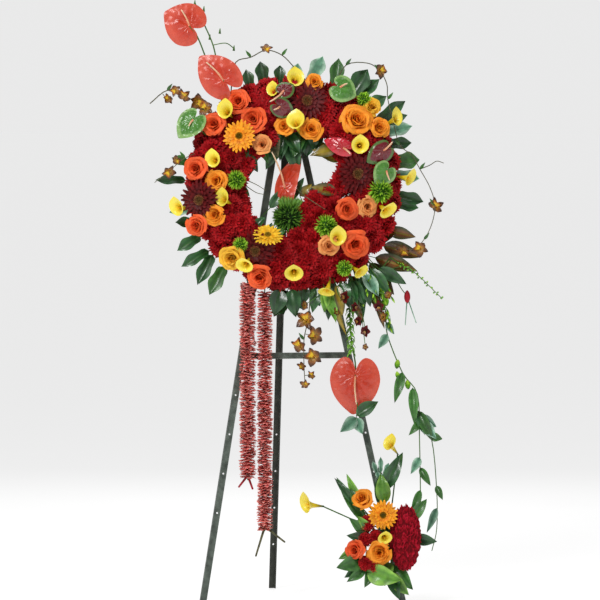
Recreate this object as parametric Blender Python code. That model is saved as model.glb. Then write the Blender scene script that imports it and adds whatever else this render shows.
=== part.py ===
"""A standing funeral wreath: a ring of fresh flowers on a folding three-legged easel.

Metres, +Z up, the floor at Z = 0. The wreath faces -Y. The easel's middle plane is X = 0 in
its own frame, which an empty carries to the place where the whole piece's box is centred.
"""

import math

import bmesh
import bpy
from mathutils import Matrix, Vector

MM = 0.001
GAP = 0.3 * MM

# Easel, a folding stand of punched steel angle
FOOT_SPREAD = 526 * MM
HEAD_SPREAD = 28 * MM
HEAD_HEIGHT = 1300 * MM
FRONT_FOOT_Y = -240 * MM
BACK_FOOT_Y = 232 * MM
LEAN = math.radians(10.4)
FLANGE = 17 * MM
SIDE_FLANGE = 12 * MM
STEEL = 2.5 * MM
HOLE_RADIUS = 2.6 * MM
HOLE_PITCH = 100 * MM
CROSSBAR_HEIGHT = 640 * MM
BOLT_RADIUS = 3 * MM
PIVOT_HEIGHT = 1284 * MM
PIVOT_BEHIND = 19 * MM
EASEL_PLACE = (-11.5 * MM, 50.2 * MM, 0)

# Ring of floral foam in its tray
RING_HEIGHT = 1074 * MM
FOAM_INNER = 165 * MM
FOAM_OUTER = 250 * MM
FOAM_BACK = 3.1 * MM
FOAM_FRONT = 64 * MM
TRAY_WALL = 2.5 * MM
TRAY_RIM = 16 * MM
RING_SIDES = 20

# Flowers are placed by hand in steps from the ring's middle, across and up, as seen from
# VIEW_TURN left of the front. A step is a 230th of the dressed ring's width.
STEP = 2.6 * MM
VIEW_TURN = math.radians(-10)
CLEAR = 0.45 * MM
STEM = 1.9 * MM
RUN_LIFT = 68
CALLA_RUN = 75
MUM_RUN = 82
BED_ARCS = 6
BED_ROWS = ((262, 78, 0.7, 3), (152, 78, -0.6, 2))
BED_HEAD = 40 * MM
STRING_PITCH = 30 * MM
BLOOM_RISE = 12
STRING_SIDES = 5
WELD = 0.0001 * MM
MERGE_STEPS = tuple(step * MM for step in (0.4, 0.3, 0.25, 0.2, 0.15, 0.1, 0.05, 0.01, 0.002))

SIGHT = Vector((-math.sin(VIEW_TURN), math.cos(VIEW_TURN), 0))
ACROSS = Vector((math.cos(VIEW_TURN), math.sin(VIEW_TURN), 0))
UP = Vector((0, 0, 1))
OUT = Vector((0, -math.cos(LEAN), math.sin(LEAN)))
SLOPE_UP = Vector((0, math.sin(LEAN), math.cos(LEAN)))
RING_CENTRE = Vector((0, FRONT_FOOT_Y + RING_HEIGHT * math.tan(LEAN), RING_HEIGHT))

TONES = {
    "steel": ((0.10, 0.13, 0.11), 0.45, 0.6),
    "tray": ((0.03, 0.10, 0.04), 0.5, 0.0),
    "foam": ((0.06, 0.16, 0.06), 0.95, 0.0),
    "crimson": ((0.32, 0.005, 0.015), 0.7, 0.0),
    "rose": ((0.83, 0.15, 0.03), 0.6, 0.0),
    "orange": ((0.90, 0.30, 0.02), 0.6, 0.0),
    "gold": ((0.85, 0.62, 0.04), 0.6, 0.0),
    "coral": ((0.78, 0.09, 0.05), 0.25, 0.0),
    "lime": ((0.22, 0.50, 0.04), 0.8, 0.0),
    "green": ((0.05, 0.20, 0.03), 0.4, 0.0),
    "leaf": ((0.03, 0.11, 0.03), 0.4, 0.0),
    "bronze": ((0.35, 0.17, 0.03), 0.5, 0.0),
    "pink": ((0.72, 0.14, 0.15), 0.6, 0.0),
}


class Piece:
    """A closed solid, with the plain outer forms that its neighbours keep clear of."""

    def __init__(self, points, faces, forms=(), pockets=()):
        self.points = [Vector(point) for point in points]
        self.faces = [tuple(face) for face in faces]
        self.forms = list(forms)
        self.pockets = list(pockets)

    def moved(self, matrix):
        """This piece carried by a matrix, with its forms."""
        return Piece(
            [matrix @ point for point in self.points],
            self.faces,
            [form.moved(matrix) for form in self.forms],
            [pocket.moved(matrix) for pocket in self.pockets],
        )


def spot(across, up, lift):
    """The point seen at these steps from the ring's middle, `lift` mm in front of the legs."""
    offset = ACROSS * (across * STEP) + UP * (up * STEP)
    depth = (lift * MM - OUT.dot(offset)) / OUT.dot(SIGHT)
    return RING_CENTRE + offset + SIGHT * depth


def on_ring(radius, angle, lift):
    """The point at a radius and an angle on the ring, `lift` metres in front of the legs."""
    return (
        RING_CENTRE
        + Vector((1, 0, 0)) * (radius * math.cos(angle))
        + SLOPE_UP * (radius * math.sin(angle))
        + OUT * lift
    )


def towards(right, up):
    """The way a bloom faces: to the viewer, turned by these amounts to the right and up."""
    return (ACROSS * right + UP * up - SIGHT).normalized()


def splay(across, up):
    """The way a bloom faces where it stands on the ring, turned outward with its place."""
    return towards(across / 300, up / 300)


def facing(place, direction, roll=0.0):
    """A matrix that puts a form at a place with its Z axis along a direction."""
    direction = Vector(direction).normalized()
    side = UP.cross(direction)
    if side.length < 0.1:
        side = Vector((1, 0, 0))
    side.normalize()
    top = direction.cross(side)
    turned = Matrix((side, top, direction)).transposed().to_4x4()
    return Matrix.Translation(place) @ turned @ Matrix.Rotation(roll, 4, "Z")


def stack(rings):
    """A closed solid through rings of points; a ring of one point is a tip."""
    points = []
    faces = []
    starts = []
    for ring in rings:
        starts.append(len(points))
        points.extend(ring)
    for number in range(len(rings) - 1):
        low, high = starts[number], starts[number + 1]
        low_count, high_count = len(rings[number]), len(rings[number + 1])
        for k in range(max(low_count, high_count)):
            a = low + k % low_count
            b = low + (k + 1) % low_count
            c = high + (k + 1) % high_count
            d = high + k % high_count
            if low_count > 1:
                faces.append((a, b, c if high_count > 1 else d))
            if high_count > 1:
                faces.append((a, c, d))
    if len(rings[0]) > 1:
        faces.append(tuple(reversed(range(len(rings[0])))))
    if len(rings[-1]) > 1:
        faces.append(tuple(range(starts[-1], starts[-1] + len(rings[-1]))))
    return Piece(points, faces)


def frilled(radius, profile, sides, lobes):
    """A turned bloom: each step is a radius, a height, a frill, a rise and a half turn."""
    rings = []
    for reach, height, frill, rise, shift in profile:
        if reach == 0:
            rings.append([Vector((0, 0, height * radius))])
            continue
        ring = []
        for k in range(sides):
            angle = 2 * math.pi * (k + shift / 2) / sides
            wave = math.cos(lobes * 2 * math.pi * k / sides)
            far = radius * reach * (1 + frill * wave)
            tall = radius * (height + rise * wave)
            ring.append(Vector((far * math.cos(angle), far * math.sin(angle), tall)))
        rings.append(ring)
    head = with_hull(stack(rings))
    head.pockets = [pocket(head.points)]
    return head


def pocket(points, sides=5):
    """The plain tapered hollow in the bed that a head sits in."""
    low = min(point.z for point in points) - CLEAR
    high = max(point.z for point in points) + CLEAR
    wide = (max(math.hypot(point.x, point.y) for point in points) + CLEAR) / math.cos(math.pi / sides)
    rings = []
    for reach, height in ((0.45, low), (1.0, low + (high - low) * 0.55), (1.0, high)):
        ring = []
        for k in range(sides):
            angle = 2 * math.pi * k / sides
            ring.append(Vector((wide * reach * math.cos(angle), wide * reach * math.sin(angle), height)))
        rings.append(ring)
    return stack(rings)


def hull(points, margin=CLEAR):
    """The convex form round some points, grown by a margin on every face."""
    bm = bmesh.new()
    for point in points:
        bm.verts.new(point)
    found = bmesh.ops.convex_hull(bm, input=bm.verts)
    spare = [item for item in found["geom_interior"] if isinstance(item, bmesh.types.BMVert)]
    bmesh.ops.delete(bm, geom=spare, context="VERTS")
    bmesh.ops.dissolve_limit(bm, angle_limit=0.02, verts=bm.verts, edges=bm.edges)
    bmesh.ops.triangulate(bm, faces=bm.faces)
    bmesh.ops.recalc_face_normals(bm, faces=bm.faces)
    bm.normal_update()
    grown = []
    for vert in bm.verts:
        factor = min(vert.calc_shell_factor(), 3.0)
        grown.append(vert.co + vert.normal * (margin * factor))
    bm.verts.index_update()
    faces = [tuple(vert.index for vert in face.verts) for face in bm.faces]
    bm.free()
    return Piece(grown, faces)


def with_hull(piece):
    """The piece with the convex form round it as the form to keep clear of."""
    piece.forms = [hull(piece.points)]
    piece.pockets = piece.forms
    return piece


def rings_along(route, widths, sides):
    """Rings of points square to a route, one at each of its points."""
    rings = []
    side = (route[1] - route[0]).orthogonal().normalized()
    for k, point in enumerate(route):
        before = route[max(k - 1, 0)]
        after = route[min(k + 1, len(route) - 1)]
        along = (after - before).normalized()
        side = (side - along * side.dot(along)).normalized()
        other = along.cross(side)
        ring = []
        for n in range(sides):
            angle = 2 * math.pi * n / sides
            ring.append(point + (side * math.cos(angle) + other * math.sin(angle)) * widths[k])
        rings.append(ring)
    return rings


def tube(route, radius, sides=4, tip=None):
    """A stem along a route; its radius tapers to `tip` where that is given."""
    route = [Vector(point) for point in route]
    tip = radius if tip is None else tip
    last = len(route) - 1
    rings = rings_along(route, [radius + (tip - radius) * k / last for k in range(last + 1)], sides)
    piece = stack(rings)
    piece.forms = []
    for k in range(last):
        piece.forms.append(hull(rings[k] + rings[k + 1]))
    piece.pockets = piece.forms
    return piece


def blade(base, point, width, droop=0.12, belly=0.4, stations=2, thick=1.3 * MM, face=None):
    """A pointed leaf from its base to its point, arched along its midrib, thin at its edges."""
    base, point = Vector(base), Vector(point)
    along = point - base
    length = along.length
    along.normalize()
    normal = Vector(face) if face is not None else -SIGHT
    normal = (normal - along * normal.dot(along)).normalized()
    side = along.cross(normal)
    top, under, left, right = [], [], [], []
    for k in range(1, stations + 1):
        share = k / (stations + 1)
        wide = math.sin(math.pi * share ** (0.5 + belly)) * width / 2
        arch = droop * length * math.sin(math.pi * share)
        spine = base + along * (length * share) + normal * arch
        top.append(spine + normal * thick)
        under.append(spine - normal * thick)
        fold = normal * (0.22 * wide)
        left.append(spine + side * wide + fold)
        right.append(spine - side * wide + fold)
    rings = [[base]]
    rings += [[top[k], left[k], under[k], right[k]] for k in range(stations)]
    rings.append([point])
    return with_hull(stack(rings))


def wheel(radius, petals, heart, rise=0.16, thick=0.09, square=0.82):
    """A ring of petals in one sheet, cut between the petals down to the heart."""
    rim = []
    step = 2 * math.pi / petals
    for n in range(petals):
        lift = rise * (1 if n % 2 else 0.8)
        for turn, reach, height in ((0, heart, 0.3), (0.34, square, 1), (0.66, 1, 1)):
            angle = step * (n + turn)
            far = radius * reach
            place = (far * math.cos(angle), far * math.sin(angle), radius * lift * height)
            rim.append(Vector(place))
    return with_hull(stack([[Vector((0, 0, -radius * thick))], rim, [Vector((0, 0, radius * thick))]]))


CARNATION = (
    (0, -0.45, 0, 0, 0),
    (1.0, 0.0, 0.10, 0.09, 0),
    (0.66, 0.14, 0.0, 0.0, 0),
    (0.72, 0.42, 0.15, 0.07, 1),
    (0, 0.40, 0, 0, 0),
)
ROSE = (
    (0, -0.95, 0, 0, 0),
    (1.0, 0.04, 0.05, 0.06, 0),
    (0.72, 0.0, 0, 0, 0),
    (0.78, 0.30, 0.05, 0.05, 1),
    (0.48, 0.20, 0, 0, 1),
    (0.46, 0.50, 0.08, 0.04, 0),
    (0, 0.28, 0, 0, 0),
)
CALLA = (
    (0, -2.5, 0, 0, 0),
    (0.50, -0.8, 0, 0, 0),
    (1.0, 0.0, 0.16, 0.34, 0),
    (0.44, -0.55, 0, 0.0, 0),
    (0, -1.5, 0, 0, 0),
)
MUM = (
    (0, -0.6, 0, 0, 0),
    (0.95, -0.1, 0.12, 0.06, 0),
    (0.66, 0.10, 0, 0, 0),
    (0.80, 0.40, 0.15, 0.06, 1),
    (0.44, 0.40, 0, 0, 1),
    (0.46, 0.66, 0.22, 0.05, 0),
    (0, 0.62, 0, 0, 0),
)


def carnation(radius):
    """A frilled head in two tiers round a pointed middle."""
    return frilled(radius, CARNATION, 6, 3)


def rose(radius):
    """A rose head: three rounds of petals over a tapered calyx."""
    return frilled(radius, ROSE, 6, 3)


def calla(radius):
    """A small calla: one rolled trumpet with a lip."""
    return frilled(radius, CALLA, 6, 1)


def mum(radius):
    """A button head of pointed florets in three tiers."""
    return frilled(radius, MUM, 8, 4)


def gerbera(radius, petals=12, rounds=2):
    """A gerbera: rounds of petals, cut apart down to a low disc, in one solid."""
    steps = [(1.0, 0.14, 0.42, 0.05, 0)]
    if rounds == 2:
        steps.append((0.70, 0.26, 0.36, 0.12, 1))
    rings = [[Vector((0, 0, -0.12 * radius))]]
    for tip, tip_height, notch, notch_height, shift in steps:
        ring = []
        for k in range(petals * 2):
            angle = math.pi * (k + shift) / petals
            far, tall = (tip, tip_height) if (k + shift) % 2 == 0 else (notch, notch_height)
            way = Vector((far * math.cos(angle), far * math.sin(angle), tall))
            ring.append(way * radius)
        rings.append(ring if not shift else ring[-1:] + ring[:-1])
    rings.append(rings[-1])
    disc = []
    for k in range(petals * 2):
        angle = math.pi * k / petals
        far = radius * (0.24 if k % 2 else 0.28)
        disc.append(Vector((far * math.cos(angle), far * math.sin(angle), radius * 0.30)))
    rings[-1] = disc
    rings.append([Vector((0, 0, radius * 0.24))])
    return [with_hull(stack(rings))]


HEART = (
    (0.0, -0.09), (0.20, -0.26), (0.43, -0.14), (0.50, 0.12), (0.42, 0.38), (0.24, 0.62), (0.0, 0.80),
)


def spathe(attach, tip, width, face, cup=0.10, thick=1.0 * MM):
    """An anthurium's heart-shaped spathe, from where its stem joins to its tip."""
    attach, tip = Vector(attach), Vector(tip)
    along = tip - attach
    length = along.length / 0.80
    along.normalize()
    normal = Vector(face)
    normal = (normal - along * normal.dot(along)).normalized()
    side = normal.cross(along)
    outline = list(HEART) + [(-x, y) for x, y in reversed(HEART[1:-1])]
    upper, lower = [], []
    for x, y in outline:
        far = math.hypot(x * width, y * length) / length
        back = normal * (-cup * length * far * far * 2)
        place = attach + side * (x * width) + along * (y * length) + back
        upper.append(place + normal * thick)
        lower.append(place - normal * thick)
    rings = [[attach - normal * (thick * 2)], lower, upper, [attach + normal * (thick * 2)]]
    return with_hull(stack(rings))


def spadix(attach, end, radius):
    """The finger-like spike of an anthurium."""
    attach, end = Vector(attach), Vector(end)
    middle = attach.lerp(end, 0.5)
    near = attach.lerp(end, 0.9)
    return tube([attach, middle, near, end], radius, 5, radius * 0.5)


def make_mesh(name, points, faces):
    """A mesh of these points and faces, all facing outward."""
    bm = bmesh.new()
    verts = [bm.verts.new(point) for point in points]
    for face in faces:
        bm.faces.new([verts[index] for index in face])
    bmesh.ops.recalc_face_normals(bm, faces=bm.faces)
    bmesh.ops.triangulate(bm, faces=bm.faces)
    mesh = bpy.data.meshes.new(name)
    bm.to_mesh(mesh)
    bm.free()
    return mesh


def loose(piece, collection):
    """A piece as an object in a collection, for a Boolean to read."""
    item = bpy.data.objects.new("working", make_mesh("working", piece.points, piece.faces))
    collection.objects.link(item)
    return item


def boolean(base, others, operation, solver="MANIFOLD"):
    """The mesh of one Boolean on a collection, applied, with the collection's objects removed."""
    working = bpy.data.collections.new("working")
    bpy.context.scene.collection.children.link(working)
    body = bpy.data.objects.new("working_body", base)
    bpy.context.scene.collection.objects.link(body)
    items = [loose(piece, working) for piece in others]
    modifier = body.modifiers.new("combine", "BOOLEAN")
    modifier.operation = operation
    modifier.operand_type = "COLLECTION"
    modifier.collection = working
    modifier.solver = solver
    graph = bpy.context.evaluated_depsgraph_get()
    mesh = bpy.data.meshes.new_from_object(body.evaluated_get(graph))
    for item in items + [body]:
        old = item.data
        bpy.data.objects.remove(item)
        if old.users == 0:
            bpy.data.meshes.remove(old)
    bpy.data.collections.remove(working)
    return mesh


def fused(name, pieces):
    """The mesh of pieces joined by one Boolean union."""
    mesh = make_mesh(name, pieces[0].points, pieces[0].faces)
    if len(pieces) > 1:
        mesh = boolean(mesh, pieces[1:], "UNION")
    return mesh


def bodies_of(bm):
    """The mesh's separate bodies as lists of faces, the largest last."""
    seen = set()
    bodies = []
    for face in bm.faces:
        if face in seen:
            continue
        body, front = [], [face]
        seen.add(face)
        while front:
            current = front.pop()
            body.append(current)
            for edge in current.edges:
                for other in edge.link_faces:
                    if other not in seen:
                        seen.add(other)
                        front.append(other)
        bodies.append(body)
    bodies.sort(key=lambda body: sum(face.calc_area() for face in body))
    return bodies


def is_closed(bm):
    """Whether the surface is one closed body that touches itself nowhere."""
    if not all(len(edge.link_faces) == 2 and edge.is_contiguous for edge in bm.edges):
        return False
    places = set()
    for edge in bm.edges:
        ends = [tuple(round(value / WELD) for value in vert.co) for vert in edge.verts]
        places.add(tuple(sorted(ends)))
    return len(places) == len(bm.edges) and len(bodies_of(bm)) == 1


def largest_body(mesh):
    """Keep the largest body, with slivers merged as far as the surface stays closed."""
    for distance in MERGE_STEPS:
        bm = bmesh.new()
        bm.from_mesh(mesh)
        scraps = [face for body in bodies_of(bm)[:-1] for face in body]
        bmesh.ops.delete(bm, geom=scraps, context="FACES")
        bmesh.ops.dissolve_degenerate(bm, dist=distance, edges=bm.edges)
        bmesh.ops.triangulate(bm, faces=bm.faces)
        if is_closed(bm) or distance == MERGE_STEPS[-1]:
            bm.to_mesh(mesh)
            bm.free()
            return
        bm.free()


def corners(points):
    """The lowest and the highest corner of some points."""
    low = Vector([min(point[axis] for point in points) for axis in range(3)])
    high = Vector([max(point[axis] for point in points) for axis in range(3)])
    return low, high


def meet(box, other):
    """Whether two boxes overlap."""
    return all(box[0][axis] < other[1][axis] and other[0][axis] < box[1][axis] for axis in range(3))


class Wreath:
    """Everything placed so far, each node keeping clear of the forms placed before it."""

    def __init__(self):
        self.root = bpy.data.objects.new("wreath_place", None)
        self.root.location = EASEL_PLACE
        bpy.context.scene.collection.objects.link(self.root)
        self.frame_forms = []
        self.flower_forms = []
        self.pockets = []
        self.foam_form = None

    def finish(self, name, mesh, tone, parent=None, smooth=True):
        """Put a finished mesh into the scene as one named sub-part."""
        mesh.name = name
        item = bpy.data.objects.new(name, mesh)
        item.parent = parent or self.root
        material = bpy.data.materials.get(tone) or finish_material(tone)
        mesh.materials.clear()
        mesh.materials.append(material)
        if smooth:
            mesh.shade_smooth()
            mesh.set_sharp_from_angle(angle=math.radians(35))
        bpy.context.scene.collection.objects.link(item)
        return item

    def plant(self, name, pieces, tone, out_of_foam=False):
        """Fuse pieces into one node, cut clear of all that was placed before, and place it."""
        mesh = fused(name, pieces)
        if out_of_foam:
            mesh = boolean(mesh, [self.foam_form], "DIFFERENCE")
        mesh = self.cut_clear(mesh)
        for piece in pieces:
            self.flower_forms += [(form, corners(form.points)) for form in piece.forms]
            self.pockets += [(form, corners(form.points)) for form in piece.pockets]
        return self.finish(name, mesh, tone)

    def cut_clear(self, mesh, forms=None):
        """Cut a mesh clear of the forms that it meets, and keep its largest body."""
        box = corners([vert.co for vert in mesh.vertices])
        forms = self.frame_forms + self.flower_forms if forms is None else forms
        near = [form for form, place in forms if meet(box, place)]
        if near:
            mesh = boolean(mesh, near, "DIFFERENCE")
        largest_body(mesh)
        return mesh

    def keep_clear(self, forms):
        """Have all flowers keep clear of these forms of the frame."""
        for form in forms:
            self.frame_forms.append((form, corners(form.points)))


def finish_material(tone):
    """A plain Principled material in one of the wreath's tones."""
    colour, roughness, metallic = TONES[tone]
    material = bpy.data.materials.new(tone)
    material.use_nodes = True
    shader = material.node_tree.nodes["Principled BSDF"]
    shader.inputs["Base Color"].default_value = (*colour, 1)
    shader.inputs["Roughness"].default_value = roughness
    shader.inputs["Metallic"].default_value = metallic
    material.diffuse_color = (*colour, 1)
    return material


def prism(outline, start, end, across, front):
    """A bar of one cross-section from start to end; the outline is in across and front."""
    rings = []
    for place in (start, end):
        rings.append([place + across * x + front * y for x, y in outline])
    return stack(rings)


def round_bar(start, end, radius, sides=12):
    """A plain round bar."""
    return tube([start, end], radius, sides)


def angle_outline(side):
    """The cross-section of a leg: a front flange and a flange at one side, 1 or -1."""
    half = FLANGE / 2
    return [
        (side * half, 0),
        (-side * half, 0),
        (-side * half, -STEEL),
        (side * (half - STEEL), -STEEL),
        (side * (half - STEEL), -SIDE_FLANGE),
        (side * half, -SIDE_FLANGE),
    ]


def easel_at(x, height, lift=0.0):
    """A point on the plane of the front legs, `lift` metres in front of it."""
    y = FRONT_FOOT_Y + height * math.tan(LEAN)
    return Vector((x, y, height)) + OUT * lift


def leg_line(side, height):
    """The middle of a front leg at a height."""
    share = height / HEAD_HEIGHT
    return side * (FOOT_SPREAD / 2 + (HEAD_SPREAD - FOOT_SPREAD) / 2 * share)


def level_foot(piece, along):
    """Slide the lowest ring of a leg along it to the floor, for a flat foot."""
    count = len(piece.points) // 2
    for point in piece.points[:count]:
        point -= along * (point.z / along.z)
    return piece


def front_leg(wreath, side):
    """One front leg of punched angle, from its flat foot to the head."""
    foot = easel_at(leg_line(side, 0), 0)
    head = easel_at(leg_line(side, HEAD_HEIGHT), HEAD_HEIGHT)
    along = (head - foot).normalized()
    across = along.cross(OUT).normalized()
    bar = level_foot(prism(angle_outline(side), foot, head, across, OUT), along)
    cutters = []
    heights = [CROSSBAR_HEIGHT - k * HOLE_PITCH for k in range(1, 5)]
    for height in heights:
        middle = easel_at(leg_line(side, height), height)
        cutters.append(round_bar(middle - OUT * 0.01, middle + OUT * 0.01, HOLE_RADIUS, 6))
    middle = easel_at(leg_line(side, CROSSBAR_HEIGHT), CROSSBAR_HEIGHT)
    cutters.append(round_bar(middle - OUT * 0.01, middle + OUT * 0.01, 3.5 * MM, 8))
    name = "leg_front_left" if side < 0 else "leg_front_right"
    mesh = boolean(make_mesh(name, bar.points, bar.faces), cutters, "DIFFERENCE", "EXACT")
    wreath.finish(name, mesh, "steel", smooth=False)
    wreath.keep_clear([hull(bar.points)])


def crossbar(wreath):
    """The flat bar behind the front legs, with the rivets that hold it."""
    reach = leg_line(1, CROSSBAR_HEIGHT) + 4 * MM
    half = 8 * MM
    back = -STEEL - GAP
    outline = [(half, back), (-half, back), (-half, back - STEEL), (half, back - STEEL)]
    start = easel_at(-reach, CROSSBAR_HEIGHT)
    end = easel_at(reach, CROSSBAR_HEIGHT)
    bar = prism(outline, start, end, SLOPE_UP, OUT)
    holes = []
    for side in (-1, 1):
        middle = easel_at(leg_line(side, CROSSBAR_HEIGHT), CROSSBAR_HEIGHT)
        holes.append(round_bar(middle - OUT * 0.02, middle, 3.5 * MM, 8))
        pin = Matrix.Translation(middle) @ facing(Vector((0, 0, 0)), OUT)
        profile = (
            (0, -7.4), (5, -7.0), (5, -5.6), (2.9, -5.5),
            (2.9, 0.3), (5, 0.4), (4.2, 1.7), (0, 2.0),
        )
        rings = []
        for radius, height in profile:
            count = 6 if radius else 1
            rings.append([
                Vector((
                    radius * MM * math.cos(2 * math.pi * k / 6),
                    radius * MM * math.sin(2 * math.pi * k / 6),
                    height * MM,
                ))
                for k in range(count)
            ])
        rivet = stack(rings).moved(pin)
        name = "crossbar_rivet_left" if side < 0 else "crossbar_rivet_right"
        wreath.finish(name, make_mesh(name, rivet.points, rivet.faces), "steel")
    mesh = boolean(make_mesh("crossbar", bar.points, bar.faces), holes, "DIFFERENCE", "EXACT")
    wreath.finish("crossbar", mesh, "steel", smooth=False)
    wreath.keep_clear([hull(bar.points)])


def head_parts(wreath):
    """The head: a plate with two ears, the pivot bolt, the hook and the hinged back leg."""
    pivot = easel_at(0, PIVOT_HEIGHT, -PIVOT_BEHIND)
    x_axis = Vector((1, 0, 0))
    front = -STEEL - GAP
    plate_half = 13 * MM
    wall = 2.5 * MM
    tall = 20 * MM
    outline = [
        (-plate_half, front), (-plate_half, -PIVOT_BEHIND - 6 * MM),
        (-plate_half + wall, -PIVOT_BEHIND - 6 * MM), (-plate_half + wall, front - wall),
        (plate_half - wall, front - wall), (plate_half - wall, -PIVOT_BEHIND - 6 * MM),
        (plate_half, -PIVOT_BEHIND - 6 * MM), (plate_half, front),
    ]
    low = easel_at(0, PIVOT_HEIGHT) - SLOPE_UP * tall
    high = easel_at(0, PIVOT_HEIGHT) + SLOPE_UP * (tall - 6 * MM)
    plate = prism(outline, low, high, x_axis, OUT)
    hole = [round_bar(pivot - x_axis * 0.03, pivot + x_axis * 0.03, 3.6 * MM, 8)]
    mesh = boolean(make_mesh("head_bracket", plate.points, plate.faces), hole, "DIFFERENCE", "EXACT")
    wreath.finish("head_bracket", mesh, "steel", smooth=False)
    wreath.keep_clear([hull(plate.points)])

    ear = plate_half + GAP
    bolt_steps = ((0, -4), (5.2, -4), (5.2, 0), (BOLT_RADIUS / MM, 0.0))
    rings = []
    left = -ear
    for radius, shift in bolt_steps:
        rings.append(ring_across(pivot, left + shift * MM, radius * MM))
    for radius, shift in reversed(bolt_steps):
        rings.append(ring_across(pivot, ear - shift * MM, radius * MM))
    bolt = stack(rings)
    wreath.finish("pivot_bolt", make_mesh("pivot_bolt", bolt.points, bolt.faces), "steel")
    back_leg(wreath, pivot)
    hanger(wreath)


def ring_across(centre, x, radius, sides=8):
    """A ring of points round the X axis, or one point where the radius is nothing."""
    if radius == 0:
        return [centre + Vector((x, 0, 0))]
    ring = []
    for k in range(sides):
        angle = 2 * math.pi * k / sides
        ring.append(centre + Vector((x, radius * math.cos(angle), radius * math.sin(angle))))
    return ring


def back_leg(wreath, pivot):
    """The back leg, hung on the pivot bolt; it folds forward to lie behind the front legs."""
    hinge = bpy.data.objects.new("back_leg_hinge", None)
    hinge.parent = wreath.root
    hinge.location = pivot
    bpy.context.scene.collection.objects.link(hinge)
    foot = Vector((0, BACK_FOOT_Y, 0)) - pivot
    along = -foot.normalized()
    behind = along.cross(Vector((1, 0, 0))).normalized()
    if behind.y < 0:
        behind = -behind
    half = FLANGE / 2
    rear = 6 * MM
    outline = [
        (half, rear), (half, -rear), (half - STEEL, -rear),
        (half - STEEL, rear - STEEL), (-half, rear - STEEL), (-half, rear),
    ]
    above = 10 * MM
    leg = prism(outline, foot, along * above, Vector((1, 0, 0)), behind)
    floor = -pivot.z
    for point in leg.points[:len(outline)]:
        point -= along * ((point.z - floor) / along.z)
    x_axis = Vector((1, 0, 0))
    holes = [round_bar(-x_axis * 0.03, x_axis * 0.03, 3.6 * MM, 8)]
    for k in range(4):
        place = foot + along * (0.12 + k * HOLE_PITCH)
        holes.append(round_bar(place, place + behind * 0.02, HOLE_RADIUS, 6))
    mesh = boolean(make_mesh("leg_back", leg.points, leg.faces), holes, "DIFFERENCE", "EXACT")
    wreath.finish("leg_back", mesh, "steel", parent=hinge, smooth=False)
    wreath.keep_clear([hull([point + pivot for point in leg.points])])


def hanger(wreath):
    """The hook on the head that the ring's tray hangs on."""
    half = 4 * MM
    base = easel_at(0, PIVOT_HEIGHT)
    outline = [
        (-14, -2.8), (8, -2.8), (8, -0.8), (-12, -0.8), (-12, 10), (-2, 10), (-2, 12), (-14, 12),
    ]
    outline = [(up * MM, lift * MM) for up, lift in outline]
    start = base - Vector((half, 0, 0))
    end = base + Vector((half, 0, 0))
    hook = prism(outline, start, end, SLOPE_UP, OUT)
    wreath.finish("hanger_hook", make_mesh("hanger_hook", hook.points, hook.faces), "steel", smooth=False)


def ring_band(outline, sides=RING_SIDES):
    """A closed ring of one cross-section, given as radius and lift."""
    points, faces = [], []
    count = len(outline)
    for k in range(sides):
        angle = 2 * math.pi * k / sides
        points += [on_ring(radius, angle, lift) for radius, lift in outline]
    for k in range(sides):
        here, there = k * count, (k + 1) % sides * count
        for n in range(count):
            m = (n + 1) % count
            faces.append((here + n, here + m, there + m))
            faces.append((here + n, there + m, there + n))
    return Piece(points, faces)


def foam_outline(grow=0.0):
    """The cross-section of the foam ring, chamfered at its front edges."""
    chamfer = 10 * MM
    return [
        (FOAM_INNER - grow, FOAM_BACK - grow), (FOAM_OUTER + grow, FOAM_BACK - grow),
        (FOAM_OUTER + grow, FOAM_FRONT - chamfer), (FOAM_OUTER - chamfer, FOAM_FRONT + grow),
        (FOAM_INNER + chamfer, FOAM_FRONT + grow), (FOAM_INNER - grow, FOAM_FRONT - chamfer),
    ]


def tray(wreath):
    """The ring tray, hung on the hook through its slot."""
    inner, outer = FOAM_INNER - GAP, FOAM_OUTER + GAP
    floor = FOAM_BACK - GAP
    shape = ring_band([
        (inner - TRAY_WALL, GAP), (outer + TRAY_WALL, GAP), (outer + TRAY_WALL, TRAY_RIM),
        (outer, TRAY_RIM), (outer, floor), (inner, floor), (inner, TRAY_RIM),
        (inner - TRAY_WALL, TRAY_RIM),
    ])
    slot = prism(
        [(-15.5 * MM, -1 * MM), (2 * MM, -1 * MM), (2 * MM, 14 * MM), (-15.5 * MM, 14 * MM)],
        easel_at(-6 * MM, PIVOT_HEIGHT), easel_at(6 * MM, PIVOT_HEIGHT), SLOPE_UP, OUT,
    )
    mesh = boolean(make_mesh("ring_tray", shape.points, shape.faces), [slot], "DIFFERENCE", "EXACT")
    wreath.finish("ring_tray", mesh, "tray", smooth=False)
    wreath.keep_clear([
        ring_band([
            (inner - TRAY_WALL - GAP, -GAP), (outer + TRAY_WALL + GAP, -GAP),
            (outer + TRAY_WALL + GAP, TRAY_RIM + GAP), (FOAM_OUTER - GAP, TRAY_RIM + GAP),
            (FOAM_OUTER - GAP, floor), (FOAM_INNER + GAP, floor),
            (FOAM_INNER + GAP, TRAY_RIM + GAP), (inner - TRAY_WALL - GAP, TRAY_RIM + GAP),
        ])
    ])
    wreath.foam_form = ring_band(foam_outline(GAP))


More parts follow.
